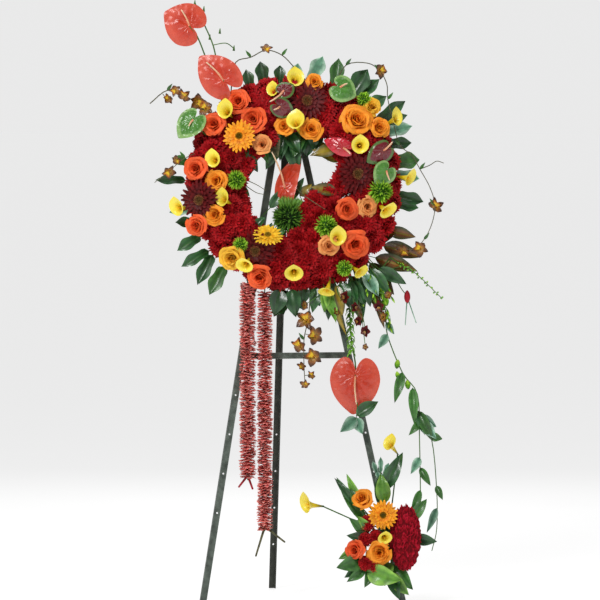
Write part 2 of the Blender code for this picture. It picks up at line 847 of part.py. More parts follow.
# A bloom is (across, up, width) in steps, then where it matters its lift in mm.
ROSES = {
    "roses_upper_left": ((-76, 64, 21, 112), (-52, 87, 22, 112), (-37, 69, 24, 116), (-28, 44, 17, 112)),
    "roses_top": ((-6, 62, 17, 112), (21, 59, 21, 112), (24, 106, 16, 104)),
    "roses_upper_right": ((67, 68, 28, 118), (82, 81, 17, 106), (90, 60, 18, 112)),
    "roses_left": ((-94, 20, 21, 110), (-73, 8, 20, 116), (-75, -26, 19, 114), (-93, -36, 19, 108)),
    "roses_lower_left": ((-58, -69, 22, 112), (-30, -88, 22, 114)),
    "roses_lower_right": ((57, -21, 20, 122), (77, -19, 19, 116), (39, -57, 19, 122), (66, -56, 25, 124)),
}
ROSE_TONES = {"roses_upper_left": "rose", "roses_left": "rose", "roses_lower_right": "rose"}
ROSE_HUBS = {
    "roses_upper_left": (-52, 66), "roses_top": (12, 76), "roses_upper_right": (76, 64),
    "roses_left": (-83, -8), "roses_lower_left": (-44, -72), "roses_lower_right": (62, -44),
}
# A calla is (across, up, width), its lift and the way it turns, right and up.
CALLAS = {
    "callas_upper_left": ((-65, 78, 16, 139, -0.5, 0.5), (-77, 29, 15, 139, -0.5, 0.2)),
    "callas_left": ((-68, -9, 15, 138, -0.8, 0.5), (-113, -19, 16, 112, -0.8, 0.0)),
    "callas_top": ((6, 110, 16, 112, 0.2, 0.7), (5, 68, 17, 146, -0.3, 0.9), (-18, 98, 12, 116, -0.5, 0.5)),
    "callas_right": ((108, 70, 15, 116, 1.2, 0.7), (70, 42, 16, 144, 0.1, 0.0),
                     (121, 9, 15, 116, 1.4, -0.2), (98, -24, 17, 132, 0.8, -0.6)),
    "callas_lower_right": ((48, -48, 16, 152, 0.3, 0.2), (71, -84, 14, 130, 0.9, -0.6)),
    "callas_bottom": ((4, -85, 17, 140, 0.0, -0.4), (36, -104, 15, 118, -0.3, -1.0),
                      (-45, -77, 16, 138, -0.3, -0.5)),
}
CALLA_HUBS = {
    "callas_upper_left": (-68, 48), "callas_left": (-92, -17), "callas_top": (-4, 84),
    "callas_right": (96, 22), "callas_lower_right": (48, -72),
    "callas_bottom": (10, -88),
}
MUMS = {
    "mums_left": ((-53, 9, 19, 122), (-49, -55, 15, 116)),
    "mum_right": ((90, -3, 24, 118),),
    "mums_lower": ((36, -37, 22, 124), (54, -79, 16, 112)),
}
MUM_HUBS = {"mums_left": (-58, -26), "mum_right": (88, -8), "mums_lower": (42, -66)}
DARK_GERBERAS = ((17, 86, 42), (-89, -11, 40), (-34, -61, 42), (67, 14, 42))


def below(across, up, lift, run=RUN_LIFT):
    """The point in the bed, at the height where stems run, straight under a bloom."""
    place = spot(across, up, lift)
    return place - OUT * ((lift - run) * MM)


def stems_to_hub(ends, hub, run=RUN_LIFT, radius=STEM):
    """Stems from the blooms' bases to one hub in the bed, and the pick from it into the foam."""
    middle = on_foam(hub, run)
    pieces = [tube([middle + OUT * (2.5 * MM), on_foam(hub, 46)], radius * 1.3, 3)]
    for base, low in ends:
        pieces.append(tube([base, low, middle], radius * 1.2, 3))
    return pieces


def on_foam(hub, lift):
    """A point over the foam's band at a hub's bearing, `lift` mm in front of the legs."""
    place = spot(hub[0], hub[1], lift)
    offset = place - RING_CENTRE
    x, y = offset.x, offset.dot(SLOPE_UP)
    angle = math.atan2(y, x)
    radius = min(max(math.hypot(x, y), FOAM_INNER + 14 * MM), FOAM_OUTER - 14 * MM)
    return on_ring(radius, angle, lift * MM)


def bloom_group(layout, hub, make, run=RUN_LIFT):
    """Heads of one kind and their stems; each head's base is its lowest point."""
    heads, ends = [], []
    for across, up, width, lift in layout:
        place = spot(across, up, lift + BLOOM_RISE)
        matrix = facing(place, splay(across, up), across * 0.7)
        head = make(width * STEP / 2).moved(matrix)
        base = min(head.points, key=lambda point: point.dot(OUT))
        inside = place.lerp(base, 0.7)
        heads.append(head)
        ends.append((inside, on_foam((across, up), run)))
    return heads + stems_to_hub(ends, hub, run)


def callas(wreath):
    """The yellow callas, each trumpet on a stem into its pick."""
    for name, layout in CALLAS.items():
        heads, ends = [], []
        for across, up, width, lift, right, top in layout:
            direction = towards(right, top)
            place = spot(across, up, lift + BLOOM_RISE / 2)
            head = calla(width * STEP / 2).moved(facing(place, direction, 1.6))
            base = place - direction * (width * STEP / 2 * 2.3)
            heads.append(head)
            low = on_foam((across - 12 * right, up - 12 * top), CALLA_RUN)
            ends.append((base, low))
        pieces = heads + stems_to_hub(ends, CALLA_HUBS[name], CALLA_RUN, 1.6 * MM)
        wreath.plant(name, pieces, "gold")


def roses(wreath):
    """The spray roses, in groups that share a pick."""
    for name, layout in ROSES.items():
        pieces = bloom_group(layout, ROSE_HUBS[name], rose)
        wreath.plant(name, pieces, ROSE_TONES.get(name, "orange"))


def mums(wreath):
    """The lime button heads."""
    for name, layout in MUMS.items():
        wreath.plant(name, bloom_group(layout, MUM_HUBS[name], mum, MUM_RUN), "lime")


def gerberas(wreath):
    """The orange gerbera at the upper left and the golden one seen edge-on below."""
    for name, place, width, lift, right, up, tone in (
        ("gerbera_orange", (-50, 52), 33, 134, -0.15, 0.1, "orange"),
        ("gerbera_gold", (-22, -47), 30, 134, 0.1, 1.1, "gold"),
    ):
        centre = spot(place[0], place[1], lift)
        matrix = facing(centre, towards(right, up))
        pieces = [piece.moved(matrix) for piece in gerbera(width * STEP / 2)]
        pieces.append(tube([centre, on_foam(place, 64), on_foam(place, 44)], STEM, 3))
        wreath.plant(name, pieces, tone)


def anthurium(place, tip, notch_face, width, spike, stem, cup=0.10, hub=None, pick=True):
    """A spathe, its spadix and its stem down to a hub; the places are (across, up, lift)."""
    attach = spot(*place)
    pieces = [spathe(attach, spot(*tip), width * STEP, notch_face, cup)]
    pieces.append(spadix(attach, spot(*spike), 2.6 * MM))
    route = [attach] + [spot(*point) for point in stem]
    if hub:
        route.append(on_foam(hub, RUN_LIFT))
    if hub and pick:
        route.append(on_foam(hub, 46))
    pieces.append(tube(route, STEM, 3))
    return pieces


def anthuriums(wreath):
    """The coral, green and burgundy anthuriums on and over the ring."""
    hub = (-66, 82)
    first = anthurium((-100, 161, 96), (-124, 174, 100), towards(-0.1, 0.1), 44, (-108, 177, 112),
                      ((-92, 150, 88), (-84, 130, 80), (-74, 104, 74)), hub=hub)
    second = anthurium((-66, 107, 130), (-89, 130, 136), towards(-0.1, 0.1), 40, (-83, 125, 144),
                       ((-65, 98, 112),), hub=hub, pick=False)
    base = on_foam(hub, RUN_LIFT)
    bare = [
        tube([spot(-95, 186, 86), spot(-86, 164, 84), spot(-76, 140, 80), spot(-70, 110, 76), base],
             1.8 * MM, 3),
        tube([spot(-56, 139, 88), spot(-64, 144, 84), spot(-77, 142, 80)], 1.5 * MM, 3),
    ]
    wreath.plant("anthuriums_top_left", first + second + bare, "coral")
    wreath.plant("anthurium_hole", anthurium(
        (-2, 3, 92), (3, 38, 84), towards(-0.5, 0.1), 18, (-18, 36, 112),
        ((-8, -14, 80),), 0.5, (-24, -60)), "coral")
    spike = [tube([spot(65, -187, 44), spot(65, -174, 38), spot(61, -150, 42), spot(59, -118, 52),
                   spot(56, -100, 60), spot(50, -84, 58)], 2.2 * MM, 3)]
    hanging = anthurium(
        (65, -187, 44), (63, -224, 34), towards(0.0, 0.05), 50, (66, -214, 62), ((65, -174, 38),))
    bracts = []
    for k in range(5):
        centre = spot(61 + (k % 2) * 1.5, -124 - k * 9, 50 - k * 2)
        bract = frilled(4.6 * STEP, ((0, -0.9, 0, 0, 0), (0.9, 0.1, 0.1, 0, 0), (0, 1.0, 0, 0, 0)), 5, 1)
        bracts.append(bract.moved(Matrix.Translation(centre)))
    wreath.plant("anthurium_hanging", hanging + spike + bracts, "coral")
    wreath.plant("anthurium_green_left", anthurium(
        (-96, 68, 128), (-110, 52, 128), towards(-0.3, 0.0), 27, (-100, 62, 136),
        ((-90, 60, 106),), 0.14, (-78, 46)), "green")
    top = anthurium((50, 100, 126), (66, 92, 128), towards(0.1, 0.3), 28, (57, 104, 136),
                    ((50, 98, 106),), 0.14, (50, 80))
    top.append(mum(8 * STEP).moved(facing(spot(74, 88, 112), splay(72, 91))))
    top.append(tube([spot(74, 88, 110), on_foam((66, 84), 80), on_foam((50, 80), RUN_LIFT)], STEM, 3))
    wreath.plant("anthurium_green_top", top, "green")
    hub = (84, 16)
    right = anthurium((93, 37, 138), (78, 26, 138), towards(0.3, 0.1), 22, (102, 46, 146),
                      ((96, 34, 114),), 0.14, hub)
    third = anthurium((96, 17, 146), (86, 5, 148), towards(0.2, -0.1), 24, (99, 8, 156),
                      ((94, 18, 118),), 0.14, hub, False)
    crimson = anthurium((53, 40, 134), (34, 47, 128), towards(0.0, -0.1), 17, (60, 34, 144),
                        ((54, 38, 104),), 0.2, hub, False)
    wreath.plant("anthuriums_right", right + third + crimson, "coral")
    hub = (-8, 82)
    one = anthurium((-6, 97, 138), (4, 104, 132), towards(-0.3, 0.1), 18, (-20, 86, 150),
                    ((-5, 96, 112),), 0.14, hub)
    two = anthurium((-10, 81, 138), (4, 72, 132), towards(0.1, 0.0), 20, (-16, 78, 146),
                    ((-9, 82, 112),), 0.14, hub, False)
    wreath.plant("anthuriums_burgundy", one + two, "bronze")


def moss_ball(wreath):
    """The mossy green head with a ferny top at the hole's lower edge."""
    centre = spot(-1, -29, 84)
    ball = frilled(16 * STEP, MUM, 10, 5).moved(facing(centre, towards(0, 0.5)))
    stem = tube([centre, spot(-2, -50, 70), on_foam((-2, -72), 70), on_foam((-2, -74), 44)], STEM, 3)
    wreath.plant("moss_ball", [ball, stem], "green")


# A leaf is its base and its tip, each (across, up, lift), and its width in steps.
IVY = {
    "ivy_top": ((-40, 96, 112, 28), (
        (-26, 104, -30, 126, 26, 12), (-14, 106, -10, 122, 26, 10), (22, 108, 33, 131, 24, 16),
        (46, 102, 49, 129, 26, 14), (62, 96, 78, 118, 26, 20), (78, 92, 97, 91, 30, 13))),
    "ivy_right": ((40, -42, -28, 28), (
        (92, 80, 103, 74, 30, 11), (98, 74, 116, 86, 26, 12), (104, 58, 123, 61, 28, 14),
        (108, 30, 130, 27, 28, 18), (112, -2, 134, -15, 28, 13), (112, -22, 129, -21, 26, 11))),
    "croton_right": ((-34, -62, -50, 28), (
        (84, -40, 106, -46, 60, 16), (100, -62, 132, -70, 26, 14), (84, -78, 128, -84, 40, 15),
        (86, -82, 104, -107, 38, 14), (60, -92, 76, -116, 34, 12))),
    "ivy_bottom": ((-78, -108, -98, 28), (
        (0, -104, -16, -128, 26, 17), (-18, -102, -6, -126, 26, 14), (22, -98, 30, -118, 28, 13),
        (-68, -84, -80, -106, 26, 15), (-80, -70, -92, -96, 26, 14), (-92, -50, -112, -62, 26, 12))),
    "ivy_left": ((-178, -140, -160, 28), (
        (-104, 8, -134, 8, 30, 9), (-98, -40, -114, -34, 28, 10))),
}


def vine_arc(start, end, count=6):
    """A vine lying on the tray's rim, from one bearing to another in degrees."""
    radius = FOAM_OUTER + 5.5 * MM
    lift = TRAY_RIM + 1.0 * MM
    route = []
    for k in range(count):
        angle = math.radians(start + (end - start) * k / (count - 1))
        route.append(on_ring(radius, angle, lift))
    return route


def ivy(wreath):
    """Leafy vines laid round the ring's rim, their leaves splayed outward."""
    spans = {
        "ivy_top": (112, 38), "ivy_right": (36, -16), "croton_right": (-18, -58),
        "ivy_bottom": (-62, -152), "ivy_left": (-158, -196),
    }
    for name, (_, leaves) in IVY.items():
        route = vine_arc(*spans[name])
        pieces = [tube(route, 2 * MM, 3)]
        for across, up, tip_across, tip_up, lift, width in leaves:
            base = spot(across, up, lift)
            root = min(route, key=lambda point: (point - base).length)
            tip = spot(tip_across, tip_up, lift + 4)
            start = root.lerp(tip, 0.22) + OUT * (4 * MM)
            pieces.append(tube([root, start, start.lerp(tip, 0.2)], 1.4 * MM, 3))
            face = (-SIGHT + UP * 0.25).normalized()
            pieces.append(blade(start, tip, width * STEP, 0.06, 0.3, 2, 1.3 * MM, face))
        wreath.plant(name, pieces, "bronze" if name == "croton_right" else "leaf")


def nearest(route, across, up):
    """The (across, up, lift) on a route of such places that lies nearest to a place."""
    best = None
    for start, end in zip(route, route[1:]):
        run = (end[0] - start[0], end[1] - start[1])
        length = run[0] ** 2 + run[1] ** 2
        share = ((across - start[0]) * run[0] + (up - start[1]) * run[1]) / length
        share = min(max(share, 0.0), 1.0)
        place = tuple(a + (b - a) * share for a, b in zip(start, end))
        far = math.hypot(place[0] - across, place[1] - up)
        if best is None or far < best[0]:
            best = (far, place)
    return best[1]


def star(radius):
    """A small orchid: five narrow tepals round a lip."""
    return wheel(radius, 5, 0.3, 0.25, 0.16, 0.62)


ORCHIDS = {
    "orchid_sprays_left": (
        ((-139, 84, 78), (-122, 97, 84), (-104, 92, 92), (-84, 74, 84), (-82, 50, 62), (-84, 44, 46),
         (-82, 40, 62), (-104, 30, 84), (-120, 17, 84), (-134, 6, 80)),
        ((-84, 79, 9), (-93, 86, 9), (-104, 92, 8), (-114, 97, 6), (-122, 88, 6), (-112, 28, 6),
         (-120, 17, 7))),
    "orchid_spray_hanging": (
        ((20, -88, 46), (20, -108, 74), (18, -130, 70), (14, -150, 66), (14, -176, 60), (15, -194, 54)),
        ((16, -131, 10), (23, -146, 10), (10, -155, 9), (23, -167, 9), (11, -177, 5), (22, -185, 5),
         (15, -194, 5))),
}


def orchids(wreath):
    """Arching sprays of small brown and gold orchids."""
    for name, (route, flowers) in ORCHIDS.items():
        points = [spot(*point) for point in route]
        pieces = [tube(points, 1.8 * MM, 3, 1.2 * MM)]
        for across, up, width in flowers:
            near = nearest(route, across, up)
            centre = spot(across, up, near[2])
            pieces.append(star(width * STEP).moved(facing(centre, towards(across / 300, 0.1), across)))
            if abs(near[0] - across) + abs(near[1] - up) > 1:
                pieces.append(tube([spot(*near), centre], 1.2 * MM, 3))
        wreath.plant(name, pieces, "bronze")


def vines(wreath):
    """The looping vines with their small golden flowers."""
    route = [
        (-60, 70, 46), (-58, 104, 76), (-54, 125, 62), (-39, 130, 56), (-24, 137, 54), (-8, 132, 54),
        (6, 118, 58), (24, 100, 58), (42, 100, 58), (56, 122, 66), (78, 124, 66), (90, 116, 66),
        (97, 103, 66), (98, 88, 62), (104, 62, 58), (110, 42, 58), (122, 32, 60), (130, 18, 60),
        (140, 0, 60), (145, -18, 60), (142, -36, 60), (134, -52, 58), (122, -62, 56), (100, -56, 46),
    ]
    curl = [(130, 18, 60), (140, 22, 62), (147, 26, 62), (154, 24, 62)]
    pieces = [tube([spot(*point) for point in line], 1.6 * MM, 3) for line in (route, curl)]
    for across, up, width in ((-24, 138, 6), (90, 117, 8), (147, -18, 9), (130, -61, 8), (113, -64, 7)):
        near = nearest(route, across, up)
        centre = spot(across, up, near[2])
        pieces.append(star(width * STEP).moved(facing(centre, towards(0.2, 0.1), up)))
        if abs(near[0] - across) + abs(near[1] - up) > 1:
            pieces.append(tube([spot(*near), centre], 1.4 * MM, 3))
    wreath.plant("flowering_vine", pieces, "bronze")


def cascade(wreath):
    """The trailing stems under the ring's right side, down to the lower bouquet."""
    stem = [(60, -62, 46), (70, -74, 62), (84, -92, 58), (95, -122, 50), (97, -146, 46), (112, -184, 40),
            (127, -206, 38), (129, -250, 36), (130, -314, 34)]
    side = [(128, -226, 37), (141, -250, 36), (146, -300, 34), (146, -338, 32), (141, -360, 32)]
    buds = ((87, -88, 4.5), (80, -95, 4.5), (91, -102, 5), (98, -112, 5), (106, -176, 5), (116, -197, 5))
    leaves = (
        ((129, -222), (142, -252), 11), ((140, -246), (152, -250), 9), ((129, -268), (120, -284), 9),
        ((129, -278), (140, -296), 8), ((128, -300), (120, -326), 8), ((146, -318), (136, -342), 8),
        ((112, -184), (104, -214), 10), ((112, -206), (124, -236), 10), ((97, -146), (88, -160), 9))
    pieces = [tube([spot(*point) for point in stem], 1.7 * MM, 3)]
    pieces.append(tube([spot(*point) for point in side], 1.4 * MM, 3))
    for across, up, size in buds:
        near = nearest(stem, across, up)
        centre = spot(*near).lerp(spot(across, up, near[2] + 3), 0.5)
        bud = frilled(size * STEP, ((0, -1.2, 0, 0, 0), (0.8, 0, 0, 0, 0), (0, 1.2, 0, 0, 0)), 4, 1)
        pieces.append(bud.moved(Matrix.Translation(centre)))
    for base, tip, width in leaves:
        near = min(
            nearest(stem, *base), nearest(side, *base),
            key=lambda point: abs(point[0] - base[0]) + abs(point[1] - base[1]),
        )
        pieces.append(blade(spot(*near), spot(tip[0], tip[1], near[2] + 6), width * STEP, stations=1))
    spear = [(100, -70, 46), (112, -78, 54), (126, -86, 56), (152, -111, 56)]
    red = [(100, -82, 46), (106, -92, 50), (112, -102, 50), (117, -108, 50)]
    pieces.append(tube([spot(*point) for point in spear], 4 * MM, 5, 2 * MM))
    pieces.append(tube([spot(100, -70, 46), spot(92, -80, 52), spot(84, -92, 58)], 2 * MM, 3))
    pieces.append(tube([spot(*point) for point in red], 1.4 * MM, 3))
    pieces.append(tube([spot(112, -78, 54), spot(106, -80, 48), spot(100, -82, 46)], 1.4 * MM, 3))
    bud = frilled(5.5 * STEP, ((0, -1.2, 0, 0, 0), (0.8, 0, 0, 0, 0), (0, 1.2, 0, 0, 0)), 6, 1)
    pieces.append(bud.moved(Matrix.Translation(spot(117, -109, 50))))
    for far in ((115, -137, 48), (126, -135, 48)):
        pieces.append(tube([spot(117, -109, 50), spot(*far)], 1.8 * MM, 3))
    wreath.plant("trailing_vine", pieces, "green")


STRINGS = {
    "petal_string_left": ((-42, -66), -94, -290, 13.5, 62, ((-51, -297), (-37, -299))),
    "petal_string_right": ((-25, -74), -103, -341, 12.5, 62, ((-34, -366), (-5, -352))),
}


def petal_strings(wreath):
    """Two hanging strings of threaded petals, straight down from the ring's lower left."""
    for name, (hub, top, bottom, width, lift, tails) in STRINGS.items():
        head = spot(hub[0], top, lift)
        radius = width * STEP / 2
        drop = (top - bottom) * STEP
        count = round(drop / STRING_PITCH)
        rings = [[head]]
        for k in range(count):
            for share, reach in ((0.15, 0.42), (0.6, 1.0)):
                ring = []
                for n in range(STRING_SIDES):
                    angle = 2 * math.pi * (n + (k % 2) / 2) / STRING_SIDES
                    far = radius * reach
                    z = head.z - drop * (k + share) / count
                    ring.append(Vector((head.x + far * math.cos(angle), head.y + far * math.sin(angle), z)))
                rings.append(ring)
        foot = Vector((head.x, head.y, head.z - drop))
        rings.append([foot])
        string = stack(rings)
        string.forms = [tube([head, foot], radius * 1.2, 8)]
        pieces = [string, tube([head - UP * 0.02, head + UP * 0.012, on_foam(hub, 40)], STEM, 3)]
        for across, up in tails:
            end = head + ACROSS * ((across - hub[0]) * STEP)
            end.z = RING_CENTRE.z + up * STEP
            start = foot + UP * 0.012
            pieces.append(tube([start, start.lerp(end, 0.5), end], 3.4 * MM, 5, 2.2 * MM))
        wreath.plant(name, pieces, "pink")


BOUQUET_UP = -348
CAGE_HALF = 35 * MM
BOUQUET_ROSES = ((71, -305, 19, 92), (64, -356, 18, 84), (88, -359, 22, 96))
BOUQUET_CALLAS = (
    (14, -311, 17, 80, -1.6, 0.25), (94, -345, 13, 118, 0.2, -0.3), (101, -256, 10, 70, 0.3, 1.6),
)
BOUQUET_LEAVES = (
    ((90, -370, 42), (94, -392, 66), 24), ((100, -372, 40), (122, -397, 56), 15),
    ((80, -366, 38), (54, -384, 52), 16), ((76, -352, 42), (48, -366, 50), 14),
    ((76, -332, 30), (46, -286, 36), 11), ((92, -318, 36), (88, -276, 40), 12),
)


def bouquet(wreath):
    """The small bouquet on its foam cage, tied to the right leg."""
    height = RING_CENTRE.z + BOUQUET_UP * STEP
    low = easel_at(leg_line(1, height - CAGE_HALF), height - CAGE_HALF)
    high = easel_at(leg_line(1, height + CAGE_HALF), height + CAGE_HALF)
    along = (high - low).normalized()
    side = along.cross(OUT).normalized()
    cage = [(-24, 0.3), (-24, 34), (-14, 42), (14, 42), (24, 34), (24, 0.3)]
    block = prism([(-a * MM, b * MM) for a, b in cage], low, high, side, OUT)
    strap = [(-6, 0.3), (-6, 3.3), (6, 3.3), (6, 0.3)]
    handle = prism([(-a * MM, b * MM) for a, b in strap], low, high + along * (26 * MM), side, OUT)
    middle = high + along * (14 * MM)
    outer = [(-11.4, -14.8), (-11.4, 6), (11.4, 6), (11.4, -14.8)]
    inner = [(-8.9, -12.4), (-8.9, 3.6), (8.9, 3.6), (8.9, -12.4)]
    points, faces = [], []
    for outline in (outer, inner):
        for shift in (-2.5 * MM, 2.5 * MM):
            for a, b in outline:
                points.append(middle + side * (a * MM) + OUT * (b * MM) + along * shift)
    for n in range(4):
        m = (n + 1) % 4
        for a, b in ((0, 4), (4, 12), (12, 8), (8, 0)):
            faces.append((a + n, a + m, b + m))
            faces.append((a + n, b + m, b + n))
    tie = Piece(points, faces)
    wreath.finish("bouquet_tie", make_mesh("bouquet_tie", tie.points, tie.faces), "tray", smooth=False)
    wreath.keep_clear([hull(handle.points, GAP), hull(tie.points, GAP)])

    heart = (low + high) / 2 + OUT * (22 * MM)
    hub = heart + OUT * (30 * MM) + along * (8 * MM)
    blooms = [tube([hub, heart + OUT * (8 * MM) + along * (8 * MM)], 2.4 * MM, 3)]
    for across, up, width, lift in BOUQUET_ROSES:
        place = spot(across, up, lift)
        head = rose(width * STEP / 2).moved(facing(place, (place - heart).normalized() + OUT, across))
        blooms.append(head)
        blooms.append(tube([place, hub], STEM, 3))
    centre = spot(92, -322, 104)
    matrix = facing(centre, towards(0, 0.15))
    blooms += [piece.moved(matrix) for piece in gerbera(15 * STEP)]
    blooms.append(tube([centre, hub], STEM, 3))
    wreath.plant("bouquet_roses", blooms, "orange")

    comb_centre = spot(114, -345, 84)
    rings = [[comb_centre - OUT * 0.03]]
    for level, reach in ((0.0, 1.0), (0.45, 0.92), (0.8, 0.66), (1.0, 0.34)):
        ring = []
        for n in range(16):
            angle = 2 * math.pi * n / 16
            wave = 1 + 0.10 * (-1) ** n
            far = reach * wave
            place = comb_centre + ACROSS * (15 * STEP * far * math.cos(angle))
            place += UP * (32 * STEP * far * math.sin(angle)) + OUT * (level * 0.03)
            ring.append(place)
        rings.append(ring)
    rings.append([comb_centre + OUT * 0.024])
    comb = with_hull(stack(rings))
    route = [comb_centre, heart + ACROSS * (14 * MM) + OUT * (12 * MM)]
    wreath.plant("cockscomb", [comb, tube(route, 3 * MM, 5)], "crimson")

    hub = heart + OUT * (28 * MM) - ACROSS * (12 * MM)
    trumpets = [tube([hub, hub - OUT * (24 * MM)], 2.2 * MM, 3)]
    for across, up, width, lift, right, top in BOUQUET_CALLAS:
        direction = towards(right, top)
        place = spot(across, up, lift)
        trumpets.append(calla(width * STEP / 2).moved(facing(place, direction, 1.6)))
        base = place - direction * (width * STEP / 2 * 2.3)
        trumpets.append(tube([base, base.lerp(hub, 0.5) + OUT * (6 * MM), hub], 1.8 * MM, 3))
    wreath.plant("bouquet_callas", trumpets, "gold")
    core = heart + OUT * (27 * MM) - along * (12 * MM)
    leaves = [tube([core, core - OUT * (24 * MM)], 2.4 * MM, 3)]
    for base, tip, width in BOUQUET_LEAVES:
        start = spot(*base)
        leaves.append(tube([core, start.lerp(spot(*tip), 0.15)], 1.8 * MM, 3))
        leaves.append(blade(start, spot(*tip), width * STEP))
    wreath.plant("bouquet_leaves", leaves, "leaf")

    wreath.finish("bouquet_cage", cage_mesh(wreath, [block, handle]), "foam", smooth=False)


def cage_mesh(wreath, pieces):
    """Foam with a plain hole for each stem that stands in it."""
    return wreath.cut_clear(fused("bouquet_cage", pieces), wreath.pockets)


def carnation_bed(wreath):
    """The dense crimson bed, in arcs of frilled heads on a common bar, with dark gerberas."""
    turn = 2 * math.pi / BED_ARCS
    for number in range(BED_ARCS):
        middle = turn * (number + 0.5)
        pieces = [arc_bar(middle, turn)]
        for radius, lift, tilt, count in BED_ROWS:
            for k in range(count):
                angle = middle + turn * ((k + 0.5) / count - 0.5)
                radial = Vector((math.cos(angle), 0, 0)) + SLOPE_UP * math.sin(angle)
                direction = OUT * math.cos(tilt) + radial * math.sin(tilt)
                place = on_ring(radius * MM, angle, lift * MM)
                pieces.append(carnation(BED_HEAD).moved(facing(place, direction, k + number)))
        for across, up, width in DARK_GERBERAS:
            place = spot(across, up, 106)
            offset = place - RING_CENTRE
            bearing = math.atan2(offset.dot(SLOPE_UP), offset.x) % (2 * math.pi)
            if int(bearing / turn) != number:
                continue
            matrix = facing(place, splay(across, up))
            pieces += [piece.moved(matrix) for piece in gerbera(width * STEP / 2, 9, 1)]
            pieces.append(tube([place, below(across, up, 106, 92)], 5 * MM, 3))
        mesh = fused("carnations", pieces)
        mesh = boolean(mesh, arc_ends(middle, turn), "DIFFERENCE")
        start = on_ring(208 * MM, middle + turn * 0.3, 90 * MM)
        peg = tube([start, start - OUT * (42 * MM)], 2.8 * MM, 3)
        mesh = boolean(mesh, [peg], "UNION")
        mesh = wreath.cut_clear(mesh, wreath.frame_forms + wreath.pockets)
        wreath.pockets += [(form, corners(form.points)) for form in peg.forms]
        wreath.finish("carnations_" + str(number + 1), mesh, "crimson")


def arc_bar(middle, turn, columns=3):
    """The chamfered bar that an arc's heads stand on."""
    outline = ((170, 86), (170, 92), (188, 99), (228, 99), (246, 92), (246, 86))
    rings = []
    for k in range(columns + 1):
        angle = middle + turn * (k / columns - 0.5)
        rings.append([on_ring(radius * MM, angle, lift * MM) for radius, lift in outline])
    return stack(rings)


def arc_ends(middle, turn):
    """Two blocks that end an arc square, half a gap short of its neighbours."""
    blocks = []
    for end in (-1, 1):
        angle = middle + end * turn / 2
        radial = Vector((1, 0, 0)) * math.cos(angle) + SLOPE_UP * math.sin(angle)
        tangent = (SLOPE_UP * math.cos(angle) - Vector((1, 0, 0)) * math.sin(angle)) * end
        start = RING_CENTRE + tangent * (GAP / 2 + 0.1 * MM)
        points = []
        for reach in (20 * MM, 420 * MM):
            ring = []
            for far, lift in ((0, -0.1), (0, 0.3), (0.2, 0.3), (0.2, -0.1)):
                ring.append(start + radial * reach + tangent * far + OUT * lift)
            points.append(ring)
        blocks.append(stack(points))
    return blocks


def foam_ring(wreath):
    """The foam, with a plain hole for each stem and a pocket round the hook."""
    band = ring_band(foam_outline())
    pocket = prism(
        [(-15.5 * MM, -2 * MM), (2 * MM, -2 * MM), (2 * MM, 14 * MM), (-15.5 * MM, 14 * MM)],
        easel_at(-6 * MM, PIVOT_HEIGHT), easel_at(6 * MM, PIVOT_HEIGHT), SLOPE_UP, OUT,
    )
    mesh = boolean(make_mesh("foam_ring", band.points, band.faces), [pocket], "DIFFERENCE")
    mesh = wreath.cut_clear(mesh, wreath.pockets)
    wreath.finish("foam_ring", mesh, "foam", smooth=False)


def main():
    """Clear the scene and build the wreath."""
    for item in list(bpy.data.objects):
        bpy.data.objects.remove(item)
    wreath = Wreath()
    for side in (-1, 1):
        front_leg(wreath, side)
    crossbar(wreath)
    head_parts(wreath)
    tray(wreath)
    anthuriums(wreath)
    callas(wreath)
    roses(wreath)
    gerberas(wreath)
    mums(wreath)
    moss_ball(wreath)
    petal_strings(wreath)
    orchids(wreath)
    vines(wreath)
    cascade(wreath)
    ivy(wreath)
    bouquet(wreath)
    carnation_bed(wreath)
    foam_ring(wreath)
    bpy.context.view_layer.update()


main()
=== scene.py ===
"""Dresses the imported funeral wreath: real petals, leaves and stems round the CAD easel and ring."""

import logging
import math
from dataclasses import dataclass, field
from enum import Enum
from typing import Callable, Sequence

import bmesh
import bpy
import numpy as np
from mathutils import Matrix, Vector, noise

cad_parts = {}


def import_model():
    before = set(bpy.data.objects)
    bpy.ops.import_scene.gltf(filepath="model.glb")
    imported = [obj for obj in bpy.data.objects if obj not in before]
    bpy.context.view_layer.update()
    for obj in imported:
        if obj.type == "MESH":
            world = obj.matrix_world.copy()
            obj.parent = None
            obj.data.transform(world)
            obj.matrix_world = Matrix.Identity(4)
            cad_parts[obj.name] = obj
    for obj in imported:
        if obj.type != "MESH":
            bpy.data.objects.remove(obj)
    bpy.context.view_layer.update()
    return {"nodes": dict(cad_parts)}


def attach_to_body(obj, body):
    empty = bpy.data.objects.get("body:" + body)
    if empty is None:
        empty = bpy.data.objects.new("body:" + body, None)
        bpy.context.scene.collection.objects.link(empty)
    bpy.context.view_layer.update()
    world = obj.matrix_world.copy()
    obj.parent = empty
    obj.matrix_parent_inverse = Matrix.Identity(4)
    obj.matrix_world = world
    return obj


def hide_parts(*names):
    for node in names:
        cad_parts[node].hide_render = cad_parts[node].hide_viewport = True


logging.basicConfig(level=logging.INFO, format="%(message)s")
LOG = logging.getLogger("wreath")

MM = 0.001
GOLDEN_TURN = math.pi * (3 - math.sqrt(5))
STEM_RADIUS = 1.9 * MM
PICK_FOOT = 47
LONE_PICK_FOOT = 45
LEAF_ROOT = 62
Colour = tuple[float, float, float]
Place = tuple[float, float, float]
Feed = float | tuple[float, ...] | bpy.types.NodeSocket


